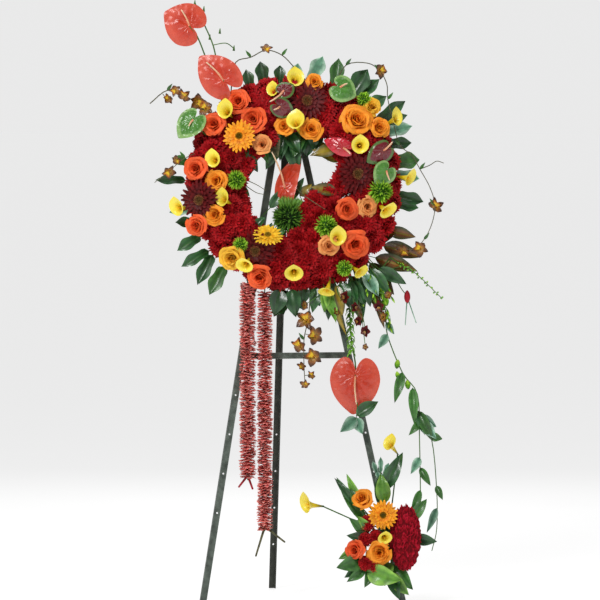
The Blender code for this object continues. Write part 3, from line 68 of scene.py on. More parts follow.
@dataclass
class NodeBench:
    """The node tree of a material or world while it is wired up."""

    tree: bpy.types.NodeTree

    def add(self, kind: str, values: dict[str | int, Feed] | None = None,
            **settings: str | bool | int) -> bpy.types.Node:
        """Add a node.

        Args:
            kind: The node's type.
            values: What each of its inputs takes: a value, or another node's output.
            settings: Its own settings, by name.

        Returns:
            The node.
        """
        node = self.tree.nodes.new(kind)
        for name, setting in settings.items():
            setattr(node, name, setting)
        self.feed(node, values or {})
        return node

    def feed(self, node: bpy.types.Node, values: dict[str | int, Feed]) -> None:
        """Set or link a node's inputs.

        Args:
            node: The node.
            values: What each input takes.
        """
        for socket, value in values.items():
            if isinstance(value, bpy.types.NodeSocket):
                self.tree.links.new(value, node.inputs[socket])
            else:
                node.inputs[socket].default_value = value


@dataclass(frozen=True)
class Finish:
    """One procedural finish: how a petal, leaf, stem or metal takes colour and light.

    The colours are linear. `deep` lies at a petal's root, `body` over its middle and `rim` at its
    edge, as the mesh's `reach` attribute gives them; `vary` is the petal's own shade.
    """

    deep: Colour
    body: Colour
    rim: Colour
    rough: float = 0.5
    grain: float = 90.0
    mottle: float = 0.25
    relief: float = 0.25
    sheen: float = 0.0
    coat: float = 0.0
    metal: float = 0.0
    glow: float = 0.0
    middle: float = 0.45
    lit: float = 0.0
    quilt: float = 0.0
    wear: float = 0.0

    def material(self, name: str) -> bpy.types.Material:
        """Build the finish as a node material.

        Args:
            name: The material's name; a finish already built is used again.

        Returns:
            The material.
        """
        found = bpy.data.materials.get(name)
        if found:
            return found
        material = bpy.data.materials.new(name)
        material.use_nodes = True
        material.diffuse_color = (*self.body, 1)
        bench = NodeBench(material.node_tree)
        place = bench.add("ShaderNodeTexCoord").outputs["Object"]
        speckle = bench.add("ShaderNodeTexNoise", {"Vector": place, "Scale": self.grain, "Detail": 6})
        grain = speckle.outputs["Fac"]
        paint = self.paint(bench, grain)
        gloss = bench.add("ShaderNodeMapRange", {
            "Value": grain, "To Min": max(self.rough - 0.12, 0.05), "To Max": min(self.rough + 0.15, 1.0)})
        bench.feed(material.node_tree.nodes["Principled BSDF"], {
            "Base Color": self.worn_edges(bench, grain, paint) if self.wear else paint,
            "Metallic": self.metal,
            "Specular IOR Level": 0.5 if self.coat or self.metal else 0.2,
            "Sheen Weight": self.sheen,
            "Sheen Roughness": 0.4,
            "Sheen Tint": (*self.rim, 1),
            "Coat Weight": self.coat,
            "Coat Roughness": 0.12,
            "Subsurface Weight": self.glow,
            "Subsurface Radius": (0.004, 0.002, 0.001),
            "Emission Color": (*self.body, 1),
            "Emission Strength": self.lit,
            "Roughness": gloss.outputs["Result"],
            "Normal": self.skin(bench, place),
        })
        return material

    def paint(self, bench: NodeBench, grain: bpy.types.NodeSocket) -> bpy.types.NodeSocket:
        """Colour the finish from root to rim, petal by petal and in patches.

        Args:
            bench: The material's nodes.
            grain: The finish's noise.

        Returns:
            The colour.
        """
        reach = bench.add("ShaderNodeAttribute", attribute_name="reach")
        stray = bench.add("ShaderNodeMath", {0: grain, 1: 0.3, 2: reach.outputs["Fac"]},
                          operation="MULTIPLY_ADD")
        ramp = bench.add("ShaderNodeValToRGB", {"Fac": stray.outputs[0]})
        root, rim = ramp.color_ramp.elements[0], ramp.color_ramp.elements[1]
        root.position = 0.15
        root.color = (*self.deep, 1)
        rim.position = 1.0
        rim.color = (*self.rim, 1)
        ramp.color_ramp.elements.new(min(self.middle + 0.15, 0.9)).color = (*self.body, 1)
        vary = bench.add("ShaderNodeAttribute", attribute_name="vary")
        bright = bench.add("ShaderNodeMath", {0: vary.outputs["Fac"], 1: 0.55, 2: 0.72},
                           operation="MULTIPLY_ADD")
        tone = bench.add("ShaderNodeHueSaturation",
                         {"Color": ramp.outputs["Color"], "Value": bright.outputs[0]})
        patch = bench.add("ShaderNodeMapRange", {
            "Value": grain, "From Min": 0.3, "From Max": 0.7, "To Min": 1 - 2 * self.mottle,
            "To Max": 1 + self.mottle})
        shade = bench.add("ShaderNodeVectorMath", {0: tone.outputs["Color"]}, operation="SCALE")
        bench.feed(shade, {"Scale": patch.outputs["Result"]})
        return shade.outputs["Vector"]

    def skin(self, bench: NodeBench, place: bpy.types.NodeSocket) -> bpy.types.NodeSocket:
        """Raise the finish's fine grain, over a quilted skin where it has one.

        Args:
            bench: The material's nodes.
            place: The object coordinates.

        Returns:
            The normal.
        """
        fine = bench.add("ShaderNodeTexNoise", {"Vector": place, "Scale": self.grain * 4, "Detail": 3})
        bump = bench.add("ShaderNodeBump", {
            "Strength": self.relief, "Distance": 0.001, "Height": fine.outputs["Fac"]})
        if self.quilt:
            cells = bench.add("ShaderNodeTexVoronoi", feature="SMOOTH_F1")
            bench.feed(cells, {"Vector": place, "Scale": self.quilt})
            swell = bench.add("ShaderNodeBump", {
                "Strength": 0.8, "Distance": 0.004, "Height": cells.outputs["Distance"]}, invert=True)
            bench.feed(bump, {"Normal": swell.outputs["Normal"]})
        return bump.outputs["Normal"]

    def worn_edges(self, bench: NodeBench, grain: bpy.types.NodeSocket,
                   paint: bpy.types.NodeSocket) -> bpy.types.NodeSocket:
        """Rub the paint off along the edges, where the grain lets it.

        Args:
            bench: The material's nodes.
            grain: The finish's noise.
            paint: The paint's colour.

        Returns:
            The colour.
        """
        rounded = bench.add("ShaderNodeBevel", {"Radius": 0.0011}, samples=6)
        flat = bench.add("ShaderNodeNewGeometry")
        edge = bench.add("ShaderNodeVectorMath", {0: rounded.outputs["Normal"], 1: flat.outputs["Normal"]},
                         operation="DOT_PRODUCT")
        rubbed = bench.add("ShaderNodeMapRange", {
            "Value": edge.outputs["Value"], "From Min": 0.995, "From Max": 0.86})
        patchy = bench.add("ShaderNodeMath", {0: rubbed.outputs["Result"], 1: grain}, operation="MULTIPLY")
        mix = bench.add("ShaderNodeMix", data_type="RGBA")
        bench.feed(mix, {
            "Factor": patchy.outputs["Value"], "A": paint, "B": (self.wear, self.wear, self.wear * 0.92, 1)})
        return mix.outputs["Result"]


class Tone(Enum):
    """The finishes of this wreath."""

    CRIMSON = Finish((0.015, 0.0, 0.001), (0.15, 0.001, 0.004), (0.46, 0.006, 0.010), 0.6, 160, 0.15)
    MAROON = Finish((0.014, 0.0, 0.001), (0.065, 0.001, 0.002), (0.125, 0.003, 0.004), 0.5, 120, 0.15)
    TAN_DISC = Finish((0.06, 0.02, 0.005), (0.16, 0.07, 0.02), (0.38, 0.20, 0.06), 0.8, 300, 0.2)
    CORAL_ROSE = Finish((0.50, 0.018, 0.002), (0.74, 0.055, 0.008), (0.86, 0.12, 0.030), 0.5, 60, 0.08,
                        glow=0.06)
    ORANGE_ROSE = Finish((0.80, 0.11, 0.003), (0.90, 0.22, 0.008), (0.95, 0.33, 0.025), 0.5, 60, 0.08,
                         glow=0.06)
    PEACH_ROSE = Finish((0.80, 0.15, 0.008), (0.84, 0.21, 0.02), (0.88, 0.36, 0.11), 0.5, 60, 0.08, glow=0.06)
    YELLOW_ROSE = Finish((0.78, 0.22, 0.006), (0.85, 0.36, 0.015), (0.93, 0.52, 0.04), 0.5, 60, 0.08,
                         glow=0.06)
    ORANGE_RAY = Finish((0.75, 0.14, 0.004), (0.92, 0.25, 0.006), (0.95, 0.38, 0.015), 0.45, 120, 0.08,
                        glow=0.05)
    GOLD_RAY = Finish((0.80, 0.26, 0.005), (0.90, 0.42, 0.01), (0.93, 0.58, 0.03), 0.45, 120, 0.08, glow=0.05)
    OLIVE_DISC = Finish((0.05, 0.03, 0.004), (0.14, 0.09, 0.006), (0.42, 0.26, 0.015), 0.8, 300, 0.2)
    CALLA_YELLOW = Finish((0.16, 0.14, 0.004), (0.78, 0.55, 0.008), (0.92, 0.76, 0.07), 0.35, 40, 0.06, 0.1,
                          coat=0.15, glow=0.05)
    LIME = Finish((0.03, 0.12, 0.006), (0.15, 0.40, 0.012), (0.40, 0.66, 0.05), 0.55, 160, 0.12)
    MOSS = Finish((0.008, 0.03, 0.004), (0.028, 0.11, 0.010), (0.13, 0.30, 0.03), 0.8, 200, 0.2)
    CORAL_SPATHE = Finish((0.56, 0.040, 0.007), (0.53, 0.032, 0.010), (0.62, 0.075, 0.038), 0.32, 45, 0.05,
                          0.5, coat=0.20, quilt=75)
    CRIMSON_SPATHE = Finish((0.45, 0.004, 0.012), (0.50, 0.005, 0.014), (0.60, 0.02, 0.04), 0.2, 50, 0.1,
                            0.4, coat=0.5, quilt=110)
    GREEN_SPATHE = Finish((0.08, 0.25, 0.03), (0.07, 0.22, 0.03), (0.24, 0.42, 0.13), 0.28, 60, 0.1, 0.4,
                          coat=0.3, middle=0.75, quilt=110)
    WINE_SPATHE = Finish((0.16, 0.02, 0.02), (0.15, 0.004, 0.014), (0.08, 0.16, 0.03), 0.22, 50, 0.1, 0.4,
                         coat=0.45, middle=0.75, quilt=110)
    SPADIX = Finish((0.80, 0.26, 0.14), (0.86, 0.50, 0.30), (0.90, 0.68, 0.46), 0.6, 500, 0.15, 0.9)
    IVY = Finish((0.03, 0.11, 0.02), (0.010, 0.062, 0.014), (0.03, 0.12, 0.03), 0.35, 50, 0.25, coat=0.25)
    LEAF = Finish((0.06, 0.20, 0.03), (0.026, 0.125, 0.014), (0.07, 0.22, 0.04), 0.4, 60, 0.22, coat=0.15)
    FRESH_LEAF = Finish((0.14, 0.34, 0.03), (0.10, 0.30, 0.02), (0.24, 0.48, 0.06), 0.4, 60, 0.2, coat=0.15)
    SILVER_LEAF = Finish((0.08, 0.20, 0.12), (0.13, 0.30, 0.19), (0.36, 0.54, 0.41), 0.5, 60, 0.2)
    CROTON = Finish((0.28, 0.28, 0.02), (0.20, 0.060, 0.008), (0.04, 0.05, 0.008), 0.3, 35, 0.3, coat=0.35,
                    middle=0.3)
    OLIVE_LEAF = Finish((0.40, 0.30, 0.02), (0.30, 0.20, 0.012), (0.10, 0.10, 0.02), 0.35, 40, 0.25,
                        coat=0.25, middle=0.5)
    BRONZE_ORCHID = Finish((0.50, 0.28, 0.02), (0.24, 0.080, 0.009), (0.05, 0.014, 0.004), 0.4, 220, 0.3,
                           coat=0.2)
    ORCHID_LIP = Finish((0.72, 0.45, 0.03), (0.74, 0.50, 0.03), (0.45, 0.13, 0.02), 0.4, 200, 0.15)
    STEM = Finish((0.05, 0.13, 0.02), (0.06, 0.16, 0.025), (0.09, 0.20, 0.04), 0.5, 80, 0.2)
    VINE = Finish((0.09, 0.08, 0.035), (0.11, 0.11, 0.055), (0.16, 0.15, 0.08), 0.6, 120, 0.3)
    SALMON = Finish((0.74, 0.15, 0.14), (0.84, 0.24, 0.22), (0.92, 0.42, 0.37), 0.55, 140, 0.1, glow=0.10,
                    middle=0.25)
    RED_TIP = Finish((0.22, 0.004, 0.01), (0.32, 0.005, 0.012), (0.42, 0.015, 0.03), 0.5, 120, 0.2)
    COMB = Finish((0.07, 0.0, 0.003), (0.34, 0.002, 0.010), (0.52, 0.008, 0.03), 0.9, 420, 0.2, 0.8,
                  sheen=0.3)
    STEEL = Finish((0.15, 0.185, 0.155), (0.15, 0.185, 0.155), (0.15, 0.185, 0.155), 0.42, 60, 0.25, 0.4,
                   metal=0.2, wear=0.55)
    OLD_STEEL = Finish((0.055, 0.060, 0.046), (0.055, 0.060, 0.046), (0.055, 0.060, 0.046), 0.5, 60, 0.3,
                       0.4, metal=0.3, wear=0.40)
    TRAY = Finish((0.012, 0.05, 0.016), (0.012, 0.05, 0.016), (0.012, 0.05, 0.016), 0.4, 90, 0.25, 0.2)
    FOAM = Finish((0.02, 0.07, 0.022), (0.02, 0.07, 0.022), (0.02, 0.07, 0.022), 0.95, 350, 0.3, 1.0)

    def dress(self) -> bpy.types.Material:
        """The tone's material."""
        return self.value.material("finish_" + self.name.lower())


@dataclass(frozen=True)
class RingFrame:
    """The ring's place on the leaning easel, and the steps that the layout is given in."""

    place: Place = (-0.0115, 0.0502, 0.0)
    foot_y: float = -0.240
    lean: float = math.radians(10.4)
    height: float = 1.074
    step: float = 2.6 * MM
    turn: float = math.radians(-10)
    foam_inner: float = 0.165
    foam_outer: float = 0.250
    tray_rim: float = 0.016
    head_height: float = 1.300
    foot_half: float = 0.263
    head_half: float = 0.014

    @property
    def sight(self) -> Vector:
        """The way the viewer looks."""
        return Vector((-math.sin(self.turn), math.cos(self.turn), 0))

    @property
    def across(self) -> Vector:
        """The viewer's right."""
        return Vector((math.cos(self.turn), math.sin(self.turn), 0))

    @property
    def out(self) -> Vector:
        """Square to the easel's plane, to the front."""
        return Vector((0, -math.cos(self.lean), math.sin(self.lean)))

    @property
    def slope(self) -> Vector:
        """Up along the leaning easel."""
        return Vector((0, math.sin(self.lean), math.cos(self.lean)))

    @property
    def centre(self) -> Vector:
        """The ring's middle on the plane of the front legs."""
        return Vector(self.place) + Vector((0, self.foot_y + self.height * math.tan(self.lean), self.height))

    def spot(self, across: float, up: float, lift: float) -> Vector:
        """A point from the layout.

        Args:
            across: Steps to the right of the ring's middle.
            up: Steps above it.
            lift: Millimetres in front of the legs.

        Returns:
            The point.
        """
        offset = self.across * (across * self.step) + Vector((0, 0, up * self.step))
        depth = (lift * MM - self.out.dot(offset)) / self.out.dot(self.sight)
        return self.centre + offset + self.sight * depth

    def on_ring(self, radius: float, angle: float, lift: float) -> Vector:
        """The point at a radius and bearing on the ring, `lift` metres in front of the legs."""
        flat = Vector((radius * math.cos(angle), 0, 0)) + self.slope * (radius * math.sin(angle))
        return self.centre + flat + self.out * lift

    def on_foam(self, hub: Sequence[float], lift: float) -> Vector:
        """The point over the foam's band at a hub's bearing.

        Args:
            hub: The hub in steps.
            lift: Millimetres in front of the legs.

        Returns:
            The point.
        """
        offset = self.spot(hub[0], hub[1], lift) - self.centre
        x, y = offset.x, offset.dot(self.slope)
        radius = min(max(math.hypot(x, y), self.foam_inner + 0.014), self.foam_outer - 0.014)
        return self.on_ring(radius, math.atan2(y, x), lift * MM)

    def towards(self, right: float, up: float) -> Vector:
        """The way a bloom faces, turned from the viewer to the right and up."""
        return (self.across * right + Vector((0, 0, up)) - self.sight).normalized()

    def splay(self, across: float, up: float) -> Vector:
        """The way a bloom faces where it stands on the ring."""
        return self.towards(across / 300, up / 300)

    def on_legs(self, x: float, height: float, lift: float = 0.0) -> Vector:
        """A point on the plane of the front legs."""
        y = self.foot_y + height * math.tan(self.lean)
        return Vector(self.place) + Vector((x, y, height)) + self.out * lift

    def leg_line(self, side: int, height: float) -> float:
        """The middle of a front leg at a height."""
        share = height / self.head_height
        return side * (self.foot_half + (self.head_half - self.foot_half) * share)


RING = RingFrame()


def facing(place: Vector, direction: Vector, roll: float = 0.0) -> Matrix:
    """Carry a form modelled along +Z to a place.

    Args:
        place: Where the form's origin goes.
        direction: Where its Z axis points.
        roll: Its turn round that axis.

    Returns:
        The matrix.
    """
    direction = Vector(direction).normalized()
    side = Vector((0, 0, 1)).cross(direction)
    if side.length < 0.1:
        side = Vector((1, 0, 0))
    side.normalize()
    turned = Matrix((side, direction.cross(side), direction)).transposed().to_4x4()
    return Matrix.Translation(place) @ turned @ Matrix.Rotation(roll, 4, "Z")


class Gathering:
    """Sheets and tubes gathered for one mesh, with how far each point lies along its petal."""

    def __init__(self) -> None:
        """Start with nothing gathered."""
        self.blocks: list[tuple[np.ndarray, np.ndarray, np.ndarray, np.ndarray, int]] = []

    def sheet(self, grid: np.ndarray, reach: np.ndarray, vary: float, slot: int = 0,
              wrap: bool = False) -> None:
        """Add one sheet.

        Args:
            grid: Its points in rows, (rows, columns, 3).
            reach: How far along the petal each point lies, (rows, columns).
            vary: The sheet's own shade, 0 to 1.
            slot: The number of its finish in the piece.
            wrap: Whether the last column joins the first.
        """
        rows, columns = grid.shape[:2]
        numbers = np.arange(rows * columns).reshape(rows, columns)
        if wrap:
            numbers = np.concatenate([numbers, numbers[:, :1]], axis=1)
        quads = np.stack(
            [numbers[:-1, :-1], numbers[:-1, 1:], numbers[1:, 1:], numbers[1:, :-1]], axis=-1
        ).reshape(-1, 4)
        shade = np.full(rows * columns, vary)
        self.blocks.append((grid.reshape(-1, 3), quads, reach.reshape(-1).astype(float), shade, slot))

    def add(self, other: "Gathering", matrix: Matrix, scale: float = 1.0, shade: float = 0.0,
            slots: Sequence[int] | None = None) -> None:
        """Copy another gathering in.

        Args:
            other: What is copied.
            matrix: Where it goes.
            scale: Its size.
            shade: What is added to its shade.
            slots: The finish numbers that its own numbers become.
        """
        turn = np.array(matrix)
        for points, quads, reach, vary, slot in other.blocks:
            moved = points * scale @ turn[:3, :3].T + turn[:3, 3]
            lit = np.clip(vary + shade, 0, 1)
            self.blocks.append((moved, quads, reach, lit, slots[slot] if slots else slot))

    def tube(self, route: Sequence[Vector], radius: float, tip: float | None = None, slot: int = 0,
             sides: int = 6, vary: float = 0.5, smooth: int = 4,
             swell: Callable[[float], float] | None = None) -> None:
        """Add a round stem along a smooth route, closed at both ends.

        Args:
            route: The points that it passes.
            radius: Its radius at the start.
            tip: Its radius at the end.
            slot: The number of its finish.
            sides: Its sides.
            vary: Its shade.
            smooth: The points that each stretch of the route becomes.
            swell: A factor on the radius by the share of the way.
        """
        line = smoothed([Vector(point) for point in route], smooth)
        tip = radius if tip is None else tip
        side = (line[1] - line[0]).orthogonal().normalized()
        rows, along_rows = [], []
        last = len(line) - 1
        for k, point in enumerate(line):
            along = (line[min(k + 1, last)] - line[max(k - 1, 0)]).normalized()
            side = (side - along * side.dot(along)).normalized()
            other = along.cross(side)
            share = k / last
            wide = (radius + (tip - radius) * share) * (swell(share) if swell else 1)
            ring = []
            for n in range(sides):
                angle = 2 * math.pi * n / sides
                ring.append(point + (side * math.cos(angle) + other * math.sin(angle)) * wide)
            if k == 0:
                rows.append([point] * sides)
                along_rows.append([0.0] * sides)
            rows.append(ring)
            along_rows.append([share] * sides)
            if k == last:
                rows.append([point + along * wide * 0.6] * sides)
                along_rows.append([1.0] * sides)
        self.sheet(np.array([[tuple(p) for p in row] for row in rows]), np.array(along_rows), vary, slot,
                   True)

    def piece(self, name: str, tones: Sequence[Tone], body: str, nodes: Sequence[str],
              slot: str) -> bpy.types.Object:
        """Make the mesh and stand it in for its CAD nodes.

        Args:
            name: The piece's name.
            tones: Its finishes, in the order of their numbers.
            body: The body that it rides on.
            nodes: The CAD nodes that it replaces.
            slot: The record's material slot; not used.

        Returns:
            The object.
        """
        start, points, quads, reach, vary, slots = 0, [], [], [], [], []
        for block_points, block_quads, block_reach, block_vary, number in self.blocks:
            points.append(block_points)
            quads.append(block_quads + start)
            reach.append(block_reach)
            vary.append(block_vary)
            slots.append(np.full(len(block_quads), number))
            start += len(block_points)
        mesh = bpy.data.meshes.new(name)
        mesh.from_pydata(np.concatenate(points).tolist(), [], np.concatenate(quads).tolist())
        mesh.attributes.new("reach", "FLOAT", "POINT").data.foreach_set("value", np.concatenate(reach))
        mesh.attributes.new("vary", "FLOAT", "POINT").data.foreach_set("value", np.concatenate(vary))
        mesh.polygons.foreach_set("material_index", np.concatenate(slots).astype(np.int32))
        for tone in tones:
            mesh.materials.append(tone.dress())
        bm = bmesh.new()
        bm.from_mesh(mesh)
        bmesh.ops.dissolve_degenerate(bm, dist=1e-7, edges=bm.edges)
        bmesh.ops.recalc_face_normals(bm, faces=bm.faces)
        bm.to_mesh(mesh)
        bm.free()
        mesh.shade_smooth()
        item = bpy.data.objects.new(name, mesh)
        bpy.context.scene.collection.objects.link(item)
        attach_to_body(item, body)
        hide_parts(*nodes)
        LOG.info("%s: %d faces", name, len(mesh.polygons))
        return item


def smoothed(line: list[Vector], count: int) -> list[Vector]:
    """Pass a smooth curve through some points.

    Args:
        line: The points.
        count: The points that each stretch becomes.

    Returns:
        The curve's points.
    """
    if count < 2 or len(line) < 3:
        return line
    ends = [line[0] * 2 - line[1]] + line + [line[-1] * 2 - line[-2]]
    found = []
    for k in range(len(line) - 1):
        a, b, c, d = ends[k:k + 4]
        for n in range(count):
            t = n / count
            found.append(0.5 * ((2 * b) + (c - a) * t + (2 * a - 5 * b + 4 * c - d) * t * t
                                + (3 * b - 3 * c + d - a) * t ** 3))
    found.append(line[-1])
    return found


def spread(rows: int, columns: int) -> tuple[np.ndarray, np.ndarray]:
    """The along (0 to 1) and side (-1 to 1) values of a petal's points."""
    along, side = np.meshgrid(np.linspace(0, 1, rows), np.linspace(-1, 1, columns), indexing="ij")
    return along, side


def turned(grid: np.ndarray, angle: float) -> np.ndarray:
    """Turn a grid round the Z axis.

    Args:
        grid: Its points, (rows, columns, 3).
        angle: The turn.

    Returns:
        The turned grid.
    """
    c, s = math.cos(angle), math.sin(angle)
    x, y, z = grid[..., 0], grid[..., 1], grid[..., 2]
    return np.stack([x * c - y * s, x * s + y * c, z], axis=-1)


@dataclass
class Carnation:
    """A full frilled head of unit radius, its petals toothed at the edge."""

    rows: tuple[tuple[int, float, float], ...] = (
        (9, 1.0, 2), (9, 0.98, 20), (8, 0.90, 38), (7, 0.80, 55), (5, 0.68, 72), (3, 0.58, 86),
    )
    width: float = 0.44
    ruffle: float = 0.15
    tooth: float = 0.10
    seat: float = -0.30

    def model(self, seed: int) -> Gathering:
        """Model the head once.

        Args:
            seed: What the head's chance is drawn from.

        Returns:
            The head.
        """
        rng = np.random.default_rng(seed)
        head = Gathering()
        for number, (count, length, rise) in enumerate(self.rows):
            for k in range(count):
                along, side = spread(4, 8)
                tilt = math.radians(rise + rng.uniform(-7, 7))
                long = length * rng.uniform(0.9, 1.05)
                edge = along + (along > 0.9) * self.tooth * (-1.0) ** np.round((side + 1) * 3.5)
                wide = self.width * (0.22 + 0.78 * along ** 0.7)
                wave = self.ruffle * along ** 2 * np.sin(side * rng.uniform(7, 9) + rng.uniform(0, 6.28))
                bow = 0.14 * np.sin(math.pi * along)
                x = long * edge * math.cos(tilt) - (wave + bow) * math.sin(tilt)
                z = long * edge * math.sin(tilt) + (wave + bow) * math.cos(tilt) + self.seat
                grid = turned(np.stack([x, side * wide, z], axis=-1),
                              2 * math.pi * (k + number * 0.37 + rng.uniform(-0.1, 0.1)) / count)
                head.sheet(grid, along * rng.uniform(0.85, 1.05), rng.uniform(0.15, 0.9))
        return head


@dataclass
class Rose:
    """A spray rose of unit radius: a wrapped heart in opening rounds of petals."""

    rounds: tuple[tuple[int, float, float, float, float], ...] = (
        (2, 0.07, 0.50, 1.9, 0.02), (3, 0.15, 0.52, 1.45, 0.05), (4, 0.25, 0.50, 1.15, 0.09),
        (4, 0.37, 0.46, 1.05, 0.13), (5, 0.50, 0.38, 0.92, 0.17), (6, 0.64, 0.26, 0.80, 0.22),
        (6, 0.80, 0.08, 0.78, 0.24),
    )
    base: float = -0.55

    def model(self, seed: int) -> Gathering:
        """Model the rose once.

        Args:
            seed: What its chance is drawn from.

        Returns:
            The rose, with the calyx as finish 1.
        """
        rng = np.random.default_rng(seed)
        rose = Gathering()
        for number, (count, top, height, half, lip) in enumerate(self.rounds):
            for k in range(count):
                along, side = spread(8, 9)
                tall = height + rng.uniform(-0.04, 0.04)
                bowl = np.sin(math.pi / 2 * along ** 0.62)
                over = np.clip((along - 0.72) / 0.28, 0, 1)
                curl = lip * (1 + 0.6 * rng.uniform(-1, 1))
                far = 0.05 + (top - 0.05) * bowl + curl * over ** 1.4
                far = far + 0.035 * np.sin(side * 4.5 + rng.uniform(0, 6)) * along * (0.4 + top)
                crown = 1 - (0.20 + 0.10 * (number > 2)) * np.abs(side) ** 2.6
                z = self.base + (tall - self.base) * along * crown - curl * 0.9 * over ** 2
                angle = side * half * (0.45 + 0.55 * np.sin(math.pi / 2 * np.clip(along * 1.3, 0, 1)))
                if number < 2:
                    far = far * (1 + 0.16 * side)
                grid = np.stack([far * np.cos(angle), far * np.sin(angle), z], axis=-1)
                turn = 2 * math.pi * (k + number * 0.41) / count + rng.uniform(-0.12, 0.12)
                rose.sheet(turned(grid, turn), along ** 0.8, rng.uniform(0.35, 0.75))
        for k in range(5):
            along, side = spread(4, 3)
            x = 0.10 + 0.42 * along
            grid = np.stack([x, side * 0.12 * (1 - along), self.base - 0.06 + 0.35 * along ** 2], axis=-1)
            rose.sheet(turned(grid, k * 2 * math.pi / 5), along, 0.5, 1)
        rose.tube([Vector((0, 0, -0.95)), Vector((0, 0, self.base + 0.08))], 0.10, 0.22, 1, 8)
        return rose


@dataclass
class Gerbera:
    """A gerbera of unit radius: rounds of narrow rays round a disc of florets."""

    rounds: tuple[tuple[int, float, float], ...] = (
        (22, 1.0, 7), (20, 0.88, 15), (18, 0.66, 25), (16, 0.44, 38))
    width: float = 0.11
    disc: float = 0.22

    def model(self, seed: int) -> Gathering:
        """Model the flower once.

        Args:
            seed: What its chance is drawn from.

        Returns:
            The flower, its disc as finish 1.
        """
        rng = np.random.default_rng(seed)
        bloom = Gathering()
        for number, (count, length, rise) in enumerate(self.rounds):
            for k in range(count):
                along, side = spread(6, 3)
                tilt = math.radians(rise + rng.uniform(-5, 5))
                long = length * rng.uniform(0.93, 1.04)
                path = 0.14 + (long - 0.14) * along
                wide = self.width * (0.35 + 0.65 * np.sin(math.pi * (0.12 + 0.76 * along)))
                wide = wide * np.where(along > 0.95, 0.6, 1)
                droop = -0.10 * along ** 2 * number / 4 - 0.05 * along ** 3
                x = path * math.cos(tilt)
                z = path * math.sin(tilt) + droop + 0.35 * wide * np.abs(side)
                grid = np.stack([x, side * wide, z], axis=-1)
                bloom.sheet(turned(grid,
                                   2 * math.pi * (k + number * 0.45) / count + rng.uniform(-0.05, 0.05)),
                            along, rng.uniform(0.25, 0.8))
        for k in range(120):
            share = (k + 0.5) / 120
            far = self.disc * math.sqrt(share)
            angle = k * GOLDEN_TURN
            top = 0.18 + 0.05 * math.sin(share * math.pi) + rng.uniform(0, 0.02)
            foot = Vector((far * math.cos(angle), far * math.sin(angle), 0.08))
            bloom.tube([foot, foot * 1.08 + Vector((0, 0, top - 0.08))], 0.022, 0.012, 1, 4, share, 1)
        return bloom


@dataclass
class ButtonHead:
    """A round head of pointed florets of unit radius, used for the lime heads and the moss."""

    florets: int = 170
    length: float = 0.46
    width: float = 0.085
    low: float = -0.45

    def model(self, seed: int) -> Gathering:
        """Model the head once.

        Args:
            seed: What its chance is drawn from.

        Returns:
            The head.
        """
        rng = np.random.default_rng(seed)
        head = Gathering()
        for k in range(self.florets):
            level = 1 - (1 - self.low) * (k + 0.5) / self.florets
            ring = math.sqrt(max(1 - level * level, 0))
            angle = k * GOLDEN_TURN
            out = Vector((ring * math.cos(angle), ring * math.sin(angle), level))
            along, side = spread(4, 3)
            long = self.length * rng.uniform(0.8, 1.2)
            wide = self.width * np.sin(math.pi * (0.2 + 0.8 * along) * 0.98)
            bow = 0.12 * along ** 2
            grid = np.stack([bow + 0.02 * np.abs(side), side * wide, long * along], axis=-1)
            matrix = facing(out * 0.52, out + Vector(rng.uniform(-0.25, 0.25, 3)), rng.uniform(0, 6.28))
            petal = Gathering()
            petal.sheet(grid, along, rng.uniform(0.2, 0.9))
            head.add(petal, matrix)
        rows, columns = 7, 12
        polar = np.linspace(0.02, 2.3, rows)[:, None] + np.zeros(columns)
        turn = np.zeros(rows)[:, None] + np.arange(columns) * 2 * math.pi / columns
        grid = 0.6 * np.stack([np.sin(polar) * np.cos(turn), np.sin(polar) * np.sin(turn), np.cos(polar)],
                              axis=-1)
        head.sheet(grid, np.zeros((rows, columns)), 0.2, 0, True)
        return head


@dataclass
class Calla:
    """A small calla of unit radius: one rolled spathe with a turned rim, and its spadix."""

    throat: float = -2.5
    lip: float = 0.16
    rise: float = 0.34

    def model(self) -> Gathering:
        """Model the flower once.

        Returns:
            The flower, its stem's neck as finish 1.
        """
        flower = Gathering()
        rows, columns = 15, 25
        share = np.linspace(0, 1, rows)[:, None] + np.zeros(columns)
        turn = np.zeros(rows)[:, None] + np.linspace(-math.pi * 1.12, math.pi * 1.12, columns)
        flare = 0.10 + 0.36 * share + 0.54 * np.clip((share - 0.45) / 0.55, 0, 1) ** 2.2
        front = np.cos(turn)
        far = flare * (1 + self.lip * front * share ** 3) * (1 + 0.05 * (np.abs(turn) > math.pi) * share)
        over = np.clip((share - 0.86) / 0.14, 0, 1)
        z = self.throat * (1 - share) + self.rise * front * share ** 2.5 - 0.14 * over ** 2
        far = far + 0.10 * over ** 2
        tail = np.exp(-(turn / 0.28) ** 2) * over
        grid = np.stack([far * np.cos(turn) + 0.22 * tail, far * np.sin(turn), z + 0.10 * tail], axis=-1)
        flower.sheet(grid, np.clip(share * 1.05 - 0.05, 0, 1), 0.55)
        flower.tube([Vector((0, 0, -1.7)), Vector((0, 0, -0.9)), Vector((0.06, 0, -0.25))], 0.12, 0.07, 2, 7)
        flower.tube([Vector((0, 0, -2.75)), Vector((0, 0, -2.2))], 0.10, 0.13, 1, 8)
        return flower


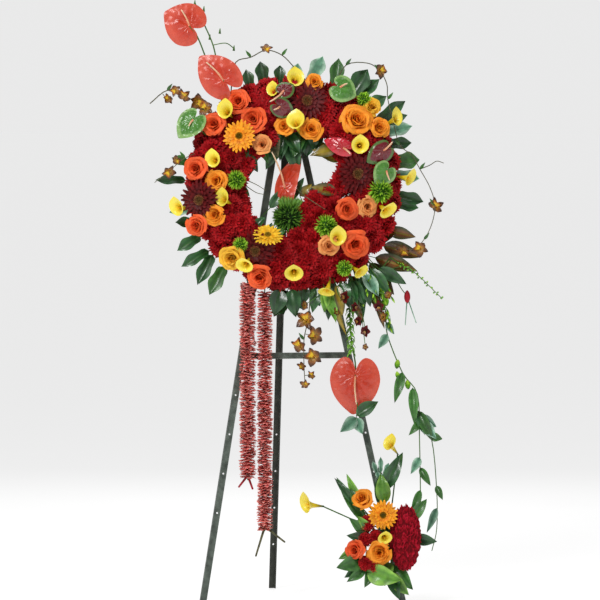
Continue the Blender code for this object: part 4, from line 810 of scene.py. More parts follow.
@dataclass
class Anthurium:
    """A glossy heart-shaped spathe with its finger-like spadix."""

    outline: tuple[tuple[float, float], ...] = (
        (0.0, -0.13), (0.07, -0.30), (0.18, -0.40), (0.32, -0.36), (0.44, -0.20), (0.50, 0.04), (0.47, 0.26),
        (0.39, 0.45), (0.27, 0.61), (0.14, 0.73), (0.0, 0.82),
    )
    rings: int = 14

    def model(self, attach: Vector, tip: Vector, width: float, face: Vector, cup: float,
              quilt: float = 0.022) -> Gathering:
        """Model one spathe at its place.

        Args:
            attach: Where its stem joins.
            tip: Its tip.
            width: Its width.
            face: The way that it faces.
            cup: How far its edges curve back.
            quilt: How far the skin swells between its veins.

        Returns:
            The spathe.
        """
        along = tip - attach
        length = along.length / 0.80
        along.normalize()
        normal = (face - along * face.dot(along)).normalized()
        side = normal.cross(along)
        half = list(self.outline)
        full = half + [(-x, y) for x, y in reversed(half[1:-1])]
        closed = [Vector((x, y, 0)) for x, y in full]
        closed = smoothed(closed + [closed[0]], 3)[:-1]
        rows, reach = [], []
        for ring in range(self.rings):
            share = ring / (self.rings - 1)
            row = []
            for point in closed:
                x, y = point.x * share, point.y * share
                bearing = math.atan2(point.y, point.x)
                far = math.hypot(x * width, y * length) / length
                vein = abs(math.sin(bearing * 5.5 + 1.4 * share))
                swell = quilt * length * vein * math.sin(math.pi * min(share * 1.05, 1))
                lift = -cup * length * far * far * 2 + swell + 0.012 * length * share ** 6
                row.append(tuple(attach + side * (x * width) + along * (y * length) + normal * lift))
            rows.append(row)
            reach.append([share] * len(closed))
        spathe = Gathering()
        spathe.sheet(np.array(rows), np.array(reach), 0.5, 0, True)
        return spathe


def spadix(gathering: Gathering, attach: Vector, end: Vector, radius: float, slot: int) -> None:
    """Add an anthurium's spike, knobbed by its florets.

    Args:
        gathering: What it is added to.
        attach: Where it grows.
        end: Its tip.
        radius: Its radius.
        slot: The number of its finish.
    """
    bend = (end - attach).orthogonal().normalized() * (end - attach).length * 0.06
    route = [attach, attach.lerp(end, 0.4) + bend, attach.lerp(end, 0.8) + bend * 0.6, end]
    gathering.tube(route, radius, radius * 0.5, slot, 8, 0.6, 8,
                   lambda share: 1 + 0.08 * math.sin(share * 130))


def blade(gathering: Gathering, base: Vector, tip: Vector, width: float, face: Vector, slot: int, vary: float,
          droop: float = 0.12, wave: float = 0.04, lobes: int = 0) -> None:
    """Add a leaf with a folded midrib.

    Args:
        gathering: What it is added to.
        base: Where it grows.
        tip: Its point.
        width: Its width.
        face: The way that its upper side looks.
        slot: The number of its finish.
        vary: Its shade.
        droop: How far it arches, as a share of its length.
        wave: How far its edge waves.
        lobes: The lobes of an ivy leaf's edge, or none.
    """
    along, side = spread(12, 7)
    line = tip - base
    length = line.length
    line = line.normalized()
    normal = (face - line * face.dot(line)).normalized()
    across = line.cross(normal)
    wide = np.sin(math.pi * np.clip(along, 0, 1) ** 0.72) ** 0.9 * width / 2
    if lobes:
        wide = wide * (1 + 0.28 * np.cos(along * math.pi * lobes * 1.2 + 0.6))
    arch = droop * length * np.sin(math.pi * along)
    fold = 0.28 * wide * np.abs(side) ** 1.3
    rib = -0.05 * width * (np.abs(side) < 0.1)
    curl = wave * length * np.sin(along * 9 + side * 2 + vary * 6) * np.abs(side) * along
    up = (arch + fold + rib + curl)[..., None]
    grid = np.array(base) + np.array(line) * (along * length)[..., None]
    grid = grid + np.array(across) * (side * wide)[..., None] + np.array(normal) * up
    gathering.sheet(grid, 1 - (1 - np.abs(side)) * 0.9, vary, slot)


@dataclass
class Orchid:
    """A small orchid of unit size: five tepals round a frilled lip."""

    def model(self, seed: int) -> Gathering:
        """Model the flower once.

        Args:
            seed: What its chance is drawn from.

        Returns:
            The flower, its lip as finish 1.
        """
        rng = np.random.default_rng(seed)
        flower = Gathering()
        for k in range(5):
            along, side = spread(5, 5)
            wide = (0.42 if k in (1, 4) else 0.30) * np.sin(math.pi * (0.12 + 0.84 * along))
            x = (0.08 + 0.92 * along) * rng.uniform(0.75, 1.1)
            z = rng.uniform(0.1, 0.6) * along - 0.28 * along ** 2 + 0.10 * np.abs(side) * wide * 3
            z = z + 0.06 * np.sin(side * 4 + along * 6 + k)
            grid = np.stack([x, side * wide, z], axis=-1)
            flower.sheet(turned(grid, math.pi / 2 + k * 2 * math.pi / 5), along, rng.uniform(0.3, 0.9))
        along, side = spread(4, 7)
        wide = 0.14 + 0.34 * along
        grid = np.stack([0.6 * along, side * wide, 0.16 + 0.10 * along + 0.09 * np.sin(side * 8) * along],
                        axis=-1)
        flower.sheet(turned(grid, -math.pi / 2), along, 0.6, 1)
        flower.tube([Vector((0, 0, -0.05)), Vector((0, 0.05, 0.25))], 0.12, 0.08, 1, 6)
        return flower


def stems(gathering: Gathering, ends: Sequence[tuple[Vector, Vector]], hub: Sequence[float], run: float,
          slot: int, radius: float = STEM_RADIUS) -> None:
    """Add the stems from a group's blooms to its hub, and the pick from it into the foam.

    Args:
        gathering: What they are added to.
        ends: Each bloom's base, and the point where its stem comes down to the run.
        hub: The group's hub, in steps.
        run: The run's lift in mm.
        slot: The number of their finish.
        radius: Their radius.
    """
    middle = RING.on_foam(hub, run)
    gathering.tube([middle + RING.out * 0.002, RING.on_foam(hub, PICK_FOOT)], radius, radius, slot, 6, 0.4, 1)
    for base, low in ends:
        gathering.tube([base, base.lerp(low, 0.7), low.lerp(middle, 0.15), middle], radius, radius, slot, 6,
                       0.4, 3)


BLOOM_RISE = 12
RUN_LIFT = 68
CALLA_RUN = 75
MUM_RUN = 82


@dataclass
class RoseGroups:
    """The spray roses on the ring, in groups that share a pick.

    A rose is (across, up, width) in steps, its lift in mm, and its tone.
    """

    layout: dict[str, tuple[tuple[float, float],
                            tuple[tuple[float, float, float, float, Tone], ...]]] = field(
        default_factory=lambda: {
            "roses_upper_left": ((-52, 66), (
                (-76, 64, 21, 112, Tone.CORAL_ROSE), (-52, 87, 22, 112, Tone.CORAL_ROSE),
                (-37, 69, 24, 116, Tone.CORAL_ROSE), (-28, 44, 17, 112, Tone.PEACH_ROSE))),
            "roses_top": ((12, 76), (
                (-6, 62, 17, 112, Tone.ORANGE_ROSE), (21, 59, 21, 112, Tone.ORANGE_ROSE),
                (24, 106, 16, 104, Tone.ORANGE_ROSE))),
            "roses_upper_right": ((76, 64), (
                (67, 68, 28, 118, Tone.ORANGE_ROSE), (82, 81, 17, 106, Tone.YELLOW_ROSE),
                (90, 60, 18, 112, Tone.ORANGE_ROSE))),
            "roses_left": ((-83, -8), (
                (-94, 20, 21, 110, Tone.CORAL_ROSE), (-73, 8, 20, 116, Tone.ORANGE_ROSE),
                (-75, -26, 19, 114, Tone.ORANGE_ROSE), (-93, -36, 19, 108, Tone.CORAL_ROSE))),
            "roses_lower_left": ((-44, -72), (
                (-58, -69, 22, 112, Tone.YELLOW_ROSE), (-30, -88, 22, 114, Tone.CORAL_ROSE))),
            "roses_lower_right": ((62, -44), (
                (57, -21, 20, 122, Tone.CORAL_ROSE), (77, -19, 19, 116, Tone.PEACH_ROSE),
                (39, -57, 19, 122, Tone.PEACH_ROSE), (66, -56, 25, 124, Tone.CORAL_ROSE))),
        })
    coral: tuple[str, ...] = ("roses_upper_left", "roses_left", "roses_lower_right")

    def build(self) -> None:
        """Build every group."""
        models = [Rose().model(seed) for seed in range(4)]
        for name, (hub, blooms) in self.layout.items():
            tones = [Tone.STEM, Tone.LEAF]
            group = Gathering()
            ends = []
            for number, (across, up, width, lift, tone) in enumerate(blooms):
                if tone not in tones:
                    tones.append(tone)
                place = RING.spot(across, up, lift + BLOOM_RISE)
                direction = RING.splay(across, up)
                size = width * RING.step / 2 * 1.08
                group.add(models[number % 4], facing(place, direction, across * 0.7 + number),
                          size, 0.0, (tones.index(tone), 1))
                ends.append((place - direction * size * 0.9, RING.on_foam((across, up), RUN_LIFT)))
            stems(group, ends, hub, RUN_LIFT, 0)
            slot = "coral_petals" if name in self.coral else "orange_petals"
            group.piece("dressed_" + name, tones, "wreath", [name], slot)


@dataclass
class CallaGroups:
    """The small yellow callas, each (across, up, width), its lift in mm and its turn."""

    layout: dict[str, tuple[tuple[float, float], tuple[tuple[float, ...], ...]]] = field(
        default_factory=lambda: {
            "callas_upper_left": ((-68, 48), ((-65, 78, 16, 139, -0.5, 0.5), (-77, 29, 15, 139, -0.5, 0.2))),
            "callas_left": ((-92, -17), ((-68, -9, 15, 138, -0.8, 0.5), (-113, -19, 16, 112, -0.8, 0.0))),
            "callas_top": ((-4, 84), (
                (6, 110, 16, 112, 0.2, 0.7), (5, 68, 17, 146, -0.3, 0.9), (-18, 98, 12, 116, -0.5, 0.5))),
            "callas_right": ((96, 22), (
                (108, 70, 15, 116, 1.2, 0.7), (70, 42, 16, 144, 0.1, 0.0), (121, 9, 15, 116, 1.4, -0.2),
                (98, -24, 17, 132, 0.8, -0.6))),
            "callas_lower_right": ((48, -72), ((48, -48, 16, 152, 0.3, 0.2), (71, -84, 14, 130, 0.9, -0.6))),
            "callas_bottom": ((10, -88), (
                (4, -85, 17, 140, 0.0, -0.4), (36, -104, 15, 118, -0.3, -1.0),
                (-45, -77, 16, 138, -0.3, -0.5))),
        })

    def build(self) -> None:
        """Build every group."""
        model = Calla().model()
        for name, (hub, blooms) in self.layout.items():
            group = Gathering()
            ends = []
            for number, (across, up, width, lift, right, top) in enumerate(blooms):
                direction = RING.towards(right, top)
                place = RING.spot(across, up, lift + BLOOM_RISE / 2)
                size = width * RING.step / 2
                group.add(model, facing(place, direction, 1.6), size, 0.1 * number - 0.1, (0, 1, 2))
                low = RING.on_foam((across - 12 * right, up - 12 * top), CALLA_RUN)
                ends.append((place - direction * size * 2.6, low))
            stems(group, ends, hub, CALLA_RUN, 1, 1.7 * MM)
            group.piece("dressed_" + name, [Tone.CALLA_YELLOW, Tone.STEM, Tone.YELLOW_ROSE], "wreath",
                        [name], "yellow_petals")


@dataclass
class ButtonGroups:
    """The lime button heads and the mossy head in the hole."""

    layout: dict[str, tuple[tuple[float, float], tuple[tuple[float, float, float, float], ...]]] = field(
        default_factory=lambda: {
            "mums_left": ((-58, -26), ((-53, 9, 19, 122), (-49, -55, 15, 116))),
            "mum_right": ((88, -8), ((90, -3, 24, 118),)),
            "mums_lower": ((42, -66), ((36, -37, 22, 124), (54, -79, 16, 112))),
        })

    def build(self) -> None:
        """Build the lime heads, then the moss."""
        models = [ButtonHead().model(seed) for seed in (5, 6)]
        for name, (hub, blooms) in self.layout.items():
            group = Gathering()
            ends = []
            for number, (across, up, width, lift) in enumerate(blooms):
                place = RING.spot(across, up, lift + BLOOM_RISE)
                direction = RING.splay(across, up)
                size = width * RING.step / 2 * 1.06
                group.add(models[number % 2], facing(place, direction), size)
                ends.append((place - direction * size * 0.55, RING.on_foam((across, up), MUM_RUN)))
            stems(group, ends, hub, MUM_RUN, 1)
            group.piece("dressed_" + name, [Tone.LIME, Tone.STEM], "wreath", [name], "lime_florets")
        self.moss()

    def moss(self) -> None:
        """Build the mossy head with its ferny top."""
        centre = RING.spot(-1, -29, 84)
        direction = RING.towards(0, 0.5)
        ball = Gathering()
        size = 18.5 * RING.step
        ball.add(ButtonHead(420, 0.40, 0.05, -0.6).model(8), facing(centre, direction), size)
        rng = np.random.default_rng(3)
        for k in range(26):
            lean = Vector((rng.uniform(-0.7, 0.7), rng.uniform(-0.5, 0.1), 1.0)).normalized()
            start = centre + lean * size * 0.5
            end = centre + lean * size * rng.uniform(0.95, 1.12)
            for n in range(6):
                root = start.lerp(end, 0.3 + n * 0.12)
                for sign in (-1, 1):
                    fan = lean.cross(Vector((0, 1, 0))).normalized() * sign
                    blade(ball, root, root + (fan + lean * 1.4) * size * 0.16, 1.6 * MM, -RING.sight, 2,
                          0.5 + 0.1 * (k % 4))
            ball.tube([start, end], 0.5 * MM, 0.3 * MM, 2, 4, 0.6, 1)
        ball.tube([centre, RING.spot(-2, -50, 70), RING.on_foam((-2, -72), 70),
                   RING.on_foam((-2, -74), LONE_PICK_FOOT)],
                  STEM_RADIUS, STEM_RADIUS, 1, 6, 0.4, 2)
        ball.piece("dressed_moss_ball", [Tone.MOSS, Tone.STEM, Tone.FRESH_LEAF], "wreath", ["moss_ball"],
                   "moss")


@dataclass
class GerberaPair:
    """The orange gerbera at the upper left and the golden one seen edge-on."""

    def build(self) -> None:
        """Build both."""
        for name, place, width, lift, right, up, tone, slot in (
            ("gerbera_orange", (-50, 52), 33, 134, -0.15, 0.1, Tone.ORANGE_RAY, "orange_petals"),
            ("gerbera_gold", (-22, -47), 30, 134, 0.1, 1.1, Tone.GOLD_RAY, "yellow_petals"),
        ):
            centre = RING.spot(place[0], place[1], lift)
            bloom = Gathering()
            bloom.add(Gerbera().model(len(name)), facing(centre, RING.towards(right, up)),
                      width * RING.step / 2)
            bloom.tube([centre, RING.on_foam(place, 66), RING.on_foam(place, LONE_PICK_FOOT)], STEM_RADIUS,
                       STEM_RADIUS, 2, 6, 0.4, 3)
            bloom.piece("dressed_" + name, [tone, Tone.OLIVE_DISC, Tone.STEM], "wreath", [name], slot)


@dataclass
class HoleFoliage:
    """The dark leaves that hang into the ring's hole, and the olive ones that frame its right gap.

    A leaf is its base and tip (across, up, lift), its width in steps and the number of its tone.
    """

    leaves: tuple[tuple[Place, Place, float, int], ...] = (
        ((-34, 50, 76), (-44, 26, 84), 12, 1), ((-24, 54, 74), (-32, 30, 84), 13, 1),
        ((-14, 56, 74), (-18, 30, 78), 13, 1), ((-4, 56, 74), (-10, 26, 74), 13, 1),
        ((6, 56, 74), (2, 30, 74), 12, 1), ((14, 56, 72), (12, 34, 70), 12, 1),
        ((-40, 44, 78), (-40, 20, 90), 11, 2), ((-28, 48, 80), (-22, 24, 88), 10, 2),
        ((22, 54, 72), (24, 36, 68), 10, 1), ((46, 38, 98), (20, 32, 98), 13, 3),
        ((30, 46, 74), (38, 26, 82), 9, 3), ((46, -4, 104), (20, 1, 104), 13, 3),
        ((10, -8, 82), (22, 4, 92), 10, 3), ((52, 28, 78), (22, 38, 88), 14, 3),
        ((-30, 54, 70), (-42, 16, 84), 16, 1), ((-20, 54, 68), (-12, 30, 92), 17, 4),
        ((-10, 54, 68), (-24, 18, 62), 17, 1), ((0, 54, 66), (8, 12, 58), 17, 1),
        ((-4, 54, 76), (10, 34, 92), 14, 1), ((12, 56, 66), (4, 30, 84), 16, 2),
        ((20, 54, 66), (16, 30, 54), 15, 1), ((30, 52, 66), (24, 36, 74), 12, 1),
        ((-46, 36, 74), (-32, 16, 80), 13, 1), ((-36, 30, 80), (-44, 6, 78), 10, 1),
        ((-20, -20, 78), (-6, 0, 84), 10, 1), ((2, -12, 80), (14, 10, 82), 9, 1),
        ((-24, -52, 84), (-18, -34, 90), 10, 1), ((-36, -40, 84), (-24, -28, 90), 9, 1),
        ((-52, 2, 80), (-40, -8, 90), 9, 2), ((-16, -46, 86), (-4, -42, 98), 10, 2),
        ((12, -40, 90), (4, -28, 98), 9, 2))
    twigs: tuple[tuple[Place, ...], ...] = (
        ((-48, 10, 84), (-34, 4, 96), (-24, -2, 102)), ((-46, 4, 84), (-34, -4, 94), (-26, -6, 100)),
        ((4, 4, 92), (10, -4, 104), (18, -10, 112), (35, -21, 118)))

    def build(self) -> None:
        """Build the foliage with its stems into the bed."""
        group = Gathering()
        for k, (base, tip, width, tone) in enumerate(self.leaves):
            start, end = RING.spot(*base), RING.spot(*tip)
            group.tube([RING.on_foam(base[:2], LEAF_ROOT), start, start.lerp(end, 0.25)], 1.3 * MM,
                       0.8 * MM, 0, 5, 0.4, 3)
            blade(group, start, end, width * RING.step, RING.towards(0.2 * (-1) ** k, 0.3), tone,
                  (k * 0.37) % 1, 0.10, 0.05)
        for route in self.twigs:
            group.tube([RING.spot(*point) for point in route], 1.3 * MM, 0.8 * MM, 4, 6, 0.7, 4)
        tones = [Tone.STEM, Tone.IVY, Tone.LEAF, Tone.OLIVE_LEAF, Tone.VINE]
        group.piece("hole_foliage", tones, "wreath", [], "dark_leaves")


@dataclass(frozen=True)
class Spathe:
    """One anthurium in the layout; its places are (across, up, lift)."""

    attach: Place
    tip: Place
    face: tuple[float, float]
    width: float
    spike: Place
    stem: tuple[Place, ...]
    cup: float = 0.10
    hub: tuple[float, float] | None = None
    pick: bool = True
    tone: Tone = Tone.CORAL_SPATHE

    def grow(self, group: Gathering, tones: list[Tone]) -> None:
        """Add this anthurium.

        Args:
            group: What it is added to.
            tones: The piece's finishes so far, which its own joins.
        """
        for tone in (self.tone, Tone.SPADIX, Tone.STEM):
            if tone not in tones:
                tones.append(tone)
        attach = RING.spot(*self.attach)
        face = RING.towards(*self.face)
        model = Anthurium().model(attach, RING.spot(*self.tip), self.width * RING.step, face, self.cup)
        group.add(model, Matrix.Identity(4), 1, 0, (tones.index(self.tone),))
        spadix(group, attach, RING.spot(*self.spike), 2.9 * MM, tones.index(Tone.SPADIX))
        route = [attach] + [RING.spot(*point) for point in self.stem]
        if self.hub:
            route.append(RING.on_foam(self.hub, RUN_LIFT))
        if self.hub and self.pick:
            route.append(RING.on_foam(self.hub, PICK_FOOT))
        group.tube(route, STEM_RADIUS, STEM_RADIUS, tones.index(Tone.STEM), 6, 0.5, 4)


@dataclass
class Anthuriums:
    """The anthuriums on, over and under the ring."""

    nodes: dict[str, tuple[str, tuple[Spathe, ...]]] = field(default_factory=lambda: {
        "anthuriums_top_left": ("coral_spathes", (
            Spathe((-100, 161, 96), (-124, 174, 100), (-0.1, 0.1), 44, (-108, 177, 112),
                   ((-92, 150, 88), (-84, 130, 80), (-74, 104, 74)), hub=(-66, 82)),
            Spathe((-66, 107, 130), (-89, 130, 136), (-0.1, 0.1), 40, (-83, 125, 144), ((-65, 98, 112),),
                   hub=(-66, 82), pick=False))),
        "anthurium_hole": ("coral_spathes", (
            Spathe((-5, 0, 98), (2, 38, 98), (-0.4, 0.0), 23, (-18, 36, 114), ((-8, -14, 80),), 0.42,
                   (-24, -60)),)),
        "anthurium_hanging": ("coral_spathes", (
            Spathe((65, -187, 44), (63, -224, 34), (0.0, 0.05), 50, (66, -214, 62), ((65, -174, 38),)),)),
        "anthurium_green_left": ("green_spathes", (
            Spathe((-96, 68, 128), (-110, 52, 128), (-0.3, 0.0), 27, (-100, 62, 136), ((-90, 60, 106),), 0.14,
                   (-78, 46), tone=Tone.GREEN_SPATHE),)),
        "anthurium_green_top": ("green_spathes", (
            Spathe((50, 100, 126), (66, 92, 128), (0.1, 0.3), 28, (57, 104, 136), ((50, 98, 106),),
                   0.14, (50, 80), tone=Tone.GREEN_SPATHE),)),
        "anthuriums_right": ("coral_spathes", (
            Spathe((93, 37, 138), (78, 26, 138), (0.3, 0.1), 22, (102, 46, 146), ((96, 34, 114),),
                   0.14, (84, 16), tone=Tone.WINE_SPATHE),
            Spathe((96, 17, 146), (86, 5, 148), (0.2, -0.1), 24, (99, 8, 156), ((94, 18, 118),),
                   0.14, (84, 16), False, Tone.GREEN_SPATHE),
            Spathe((53, 40, 134), (34, 47, 128), (0.0, -0.1), 17, (60, 34, 144), ((54, 38, 104),),
                   0.2, (84, 16), False, Tone.CRIMSON_SPATHE))),
        "anthuriums_burgundy": ("burgundy_spathes", (
            Spathe((-6, 97, 138), (4, 104, 132), (-0.3, 0.1), 18, (-20, 86, 150), ((-5, 96, 112),),
                   0.14, (-8, 82), tone=Tone.WINE_SPATHE),
            Spathe((-10, 81, 138), (4, 72, 132), (0.1, 0.0), 20, (-16, 78, 146), ((-9, 82, 112),),
                   0.14, (-8, 82), False, Tone.WINE_SPATHE))),
    })

    def build(self) -> None:
        """Build every node's anthuriums and what grows with them."""
        for name, (slot, spathes) in self.nodes.items():
            group = Gathering()
            tones: list[Tone] = []
            for one in spathes:
                one.grow(group, tones)
            if name == "anthuriums_top_left":
                self.bare_stems(group, tones.index(Tone.STEM))
            if name == "anthurium_hanging":
                self.bract_spike(group, tones)
            if name == "anthurium_green_top":
                tones.append(Tone.LIME)
                centre = RING.spot(74, 88, 112)
                group.add(ButtonHead().model(4), facing(centre, RING.splay(72, 91)), 8 * RING.step, 0,
                          (tones.index(Tone.LIME),))
                group.tube([RING.spot(74, 88, 110), RING.on_foam((66, 84), 80),
                            RING.on_foam((50, 80), RUN_LIFT)],
                           STEM_RADIUS, STEM_RADIUS, tones.index(Tone.STEM))
            group.piece("dressed_" + name, tones, "wreath", [name], slot)

    def bare_stems(self, group: Gathering, slot: int) -> None:
        """Add the bare budding stems beside the two top anthuriums.

        Args:
            group: What they are added to.
            slot: The number of their finish.
        """
        base = RING.on_foam((-66, 82), RUN_LIFT)
        group.tube([RING.spot(-95, 185, 86), RING.spot(-86, 164, 84), RING.spot(-76, 140, 80),
                    RING.spot(-70, 110, 76), base], 1.6 * MM, 2.0 * MM, slot)
        group.tube([RING.spot(-56, 139, 88), RING.spot(-64, 144, 84), RING.spot(-77, 142, 80)], 1.4 * MM,
                   1.2 * MM, slot)
        for across, up, lift in ((-95, 184, 86), (-86, 178, 84), (-56, 139, 88), (-70, 156, 84),
                                 (-80, 150, 82)):
            spot = RING.spot(across, up, lift)
            group.tube([spot - Vector((0, 0, 0.007)), spot + Vector((0.001, 0, 0.007))], 3.4 * MM, 1.0 * MM,
                       slot, 6, 0.7, 1)

    def bract_spike(self, group: Gathering, tones: list[Tone]) -> None:
        """Add the green bracted spike over the hanging anthurium.

        Args:
            group: What it is added to.
            tones: The piece's finishes so far, which the bracts' joins.
        """
        tones.append(Tone.FRESH_LEAF)
        leaf = tones.index(Tone.FRESH_LEAF)
        route = [RING.spot(65, -187, 44), RING.spot(65, -174, 38), RING.spot(61, -150, 42),
                 RING.spot(59, -118, 52), RING.spot(56, -100, 60), RING.spot(50, -84, 58)]
        group.tube(route, 2.0 * MM, 2.0 * MM, tones.index(Tone.STEM))
        for k in range(44):
            share = k / 43
            root = RING.spot(59.5 + 1.5 * share, -118 - 46 * share, 52 - 10 * share)
            angle = k * GOLDEN_TURN
            fan = RING.across * math.cos(angle) - RING.sight * math.sin(angle)
            blade(group, root, root + fan * 0.012 + Vector((0, 0, -0.013)), 9 * MM, fan, leaf, (k * 0.37) % 1)


@dataclass
class CarnationBed:
    """The dense crimson bed: rows of carnations round the ring, with dark gerberas among them.

    A row is a radius and a lift in mm, a tilt outward, a count and a head's radius in mm. An inner
    head, which leans into the hole, is (across, up) in steps, its lift and its radius in mm. A dark
    gerbera is (across, up, width) in steps.
    """

    rows: tuple[tuple[float, float, float, int, float], ...] = (
        (264, 76, 0.95, 28, 33), (240, 98, 0.45, 26, 32), (206, 108, 0.05, 22, 32), (176, 102, -0.35, 19, 31),
        (152, 80, -0.85, 16, 31),
    )
    arcs: int = 6
    inner: tuple[tuple[float, float, float, float], ...] = (
        (50, 2, 96, 30), (38, -6, 100, 31), (26, -13, 102, 31), (44, -20, 104, 32), (30, -28, 104, 32),
        (20, -36, 100, 31), (14, -24, 96, 27), (40, -44, 104, 32), (24, -52, 102, 32), (8, -50, 98, 31),
        (10, -64, 98, 32), (-8, -62, 92, 29), (54, -34, 104, 32), (-34, 40, 92, 30), (-24, 50, 94, 30),
        (58, 22, 94, 29), (-46, 24, 90, 28), (-52, -34, 92, 29), (-42, -46, 92, 29), (-52, 8, 90, 28),
        (-52, -10, 90, 29), (-50, -24, 90, 28), (50, 38, 92, 29), (54, 10, 94, 29))
    dark: tuple[tuple[float, float, float], ...] = (
        (17, 86, 42), (-89, -11, 40), (-34, -61, 42), (67, 14, 42))
    dark_lift: float = 112

    def build(self) -> None:
        """Build each arc's heads in place of its CAD arc."""
        models = [Carnation().model(seed) for seed in range(5)]
        gerbera = Gerbera(((22, 1.0, 9), (20, 0.84, 20), (16, 0.62, 34), (12, 0.42, 50)), 0.10, 0.26).model(2)
        groups = [Gathering() for _ in range(self.arcs)]
        turn = 2 * math.pi / self.arcs
        rng = np.random.default_rng(11)
        for number, (radius, lift, tilt, count, size) in enumerate(self.rows):
            for k in range(count):
                angle = 2 * math.pi * (k + 0.5 * (number % 2)) / count + rng.uniform(-0.03, 0.03)
                angle %= 2 * math.pi
                radial = Vector((math.cos(angle), 0, 0)) + RING.slope * math.sin(angle)
                direction = RING.out * math.cos(tilt) + radial * math.sin(tilt)
                direction += Vector(rng.uniform(-0.12, 0.12, 3))
                place = RING.on_ring(radius * MM, angle, (lift + rng.uniform(-4, 4)) * MM)
                groups[int(angle / turn) % self.arcs].add(
                    models[int(rng.integers(5))], facing(place, direction, rng.uniform(0, 6.28)),
                    size * MM * rng.uniform(0.94, 1.06), rng.uniform(-0.35, 0.3), (0,))
        for across, up, lift, size in self.inner:
            place = RING.spot(across, up, lift)
            groups[self.arc_at(place)].add(
                models[int(rng.integers(5))], facing(place, RING.towards(across / 150, up / 150), across),
                size * MM, rng.uniform(-0.2, 0.2), (0,))
        for across, up, width in self.dark:
            place = RING.spot(across, up, self.dark_lift)
            groups[self.arc_at(place)].add(
                gerbera, facing(place, RING.splay(across, up)), width * RING.step / 2, 0, (1, 2))
        for number, group in enumerate(groups):
            angle = turn * (number + 0.8)
            peg = RING.on_ring(208 * MM, angle, 92 * MM)
            group.tube([peg, peg - RING.out * 0.042], 2.2 * MM, 2.2 * MM, 3, 6, 0.4, 1)
            # Painted shade: a near-black sheet laid under the arc's heads.
            self.painted_shade_sheet(group, turn * number, turn)
            name = "carnations_" + str(number + 1)
            group.piece("dressed_" + name, [Tone.CRIMSON, Tone.MAROON, Tone.TAN_DISC, Tone.STEM], "wreath",
                        [name], "crimson_petals")

    def arc_at(self, place: Vector) -> int:
        """Find the arc that a place on the ring lies in.

        Args:
            place: The place.

        Returns:
            The arc's number.
        """
        offset = place - RING.centre
        angle = math.atan2(offset.dot(RING.slope), offset.x) % (2 * math.pi)
        return int(angle / (2 * math.pi / self.arcs)) % self.arcs

    def painted_shade_sheet(self, group: Gathering, start: float, turn: float) -> None:
        """Add a near-black sheet under an arc's heads: painted shade in the gaps between them.

        Args:
            group: What it is added to.
            start: The arc's first bearing.
            turn: The arc's turn.
        """
        outline = ((168, 70), (160, 84), (186, 96), (230, 96), (254, 84), (248, 70))
        grid = []
        for k in range(9):
            angle = start + turn * k / 8
            grid.append([tuple(RING.on_ring(radius * MM, angle, lift * MM)) for radius, lift in outline])
        grid = np.array(grid)
        # The sheet takes the maroon finish's near-black root colour, as painted shade between the carnation
        # heads.
        group.sheet(grid, np.zeros(grid.shape[:2]), 0.1, 1, True)


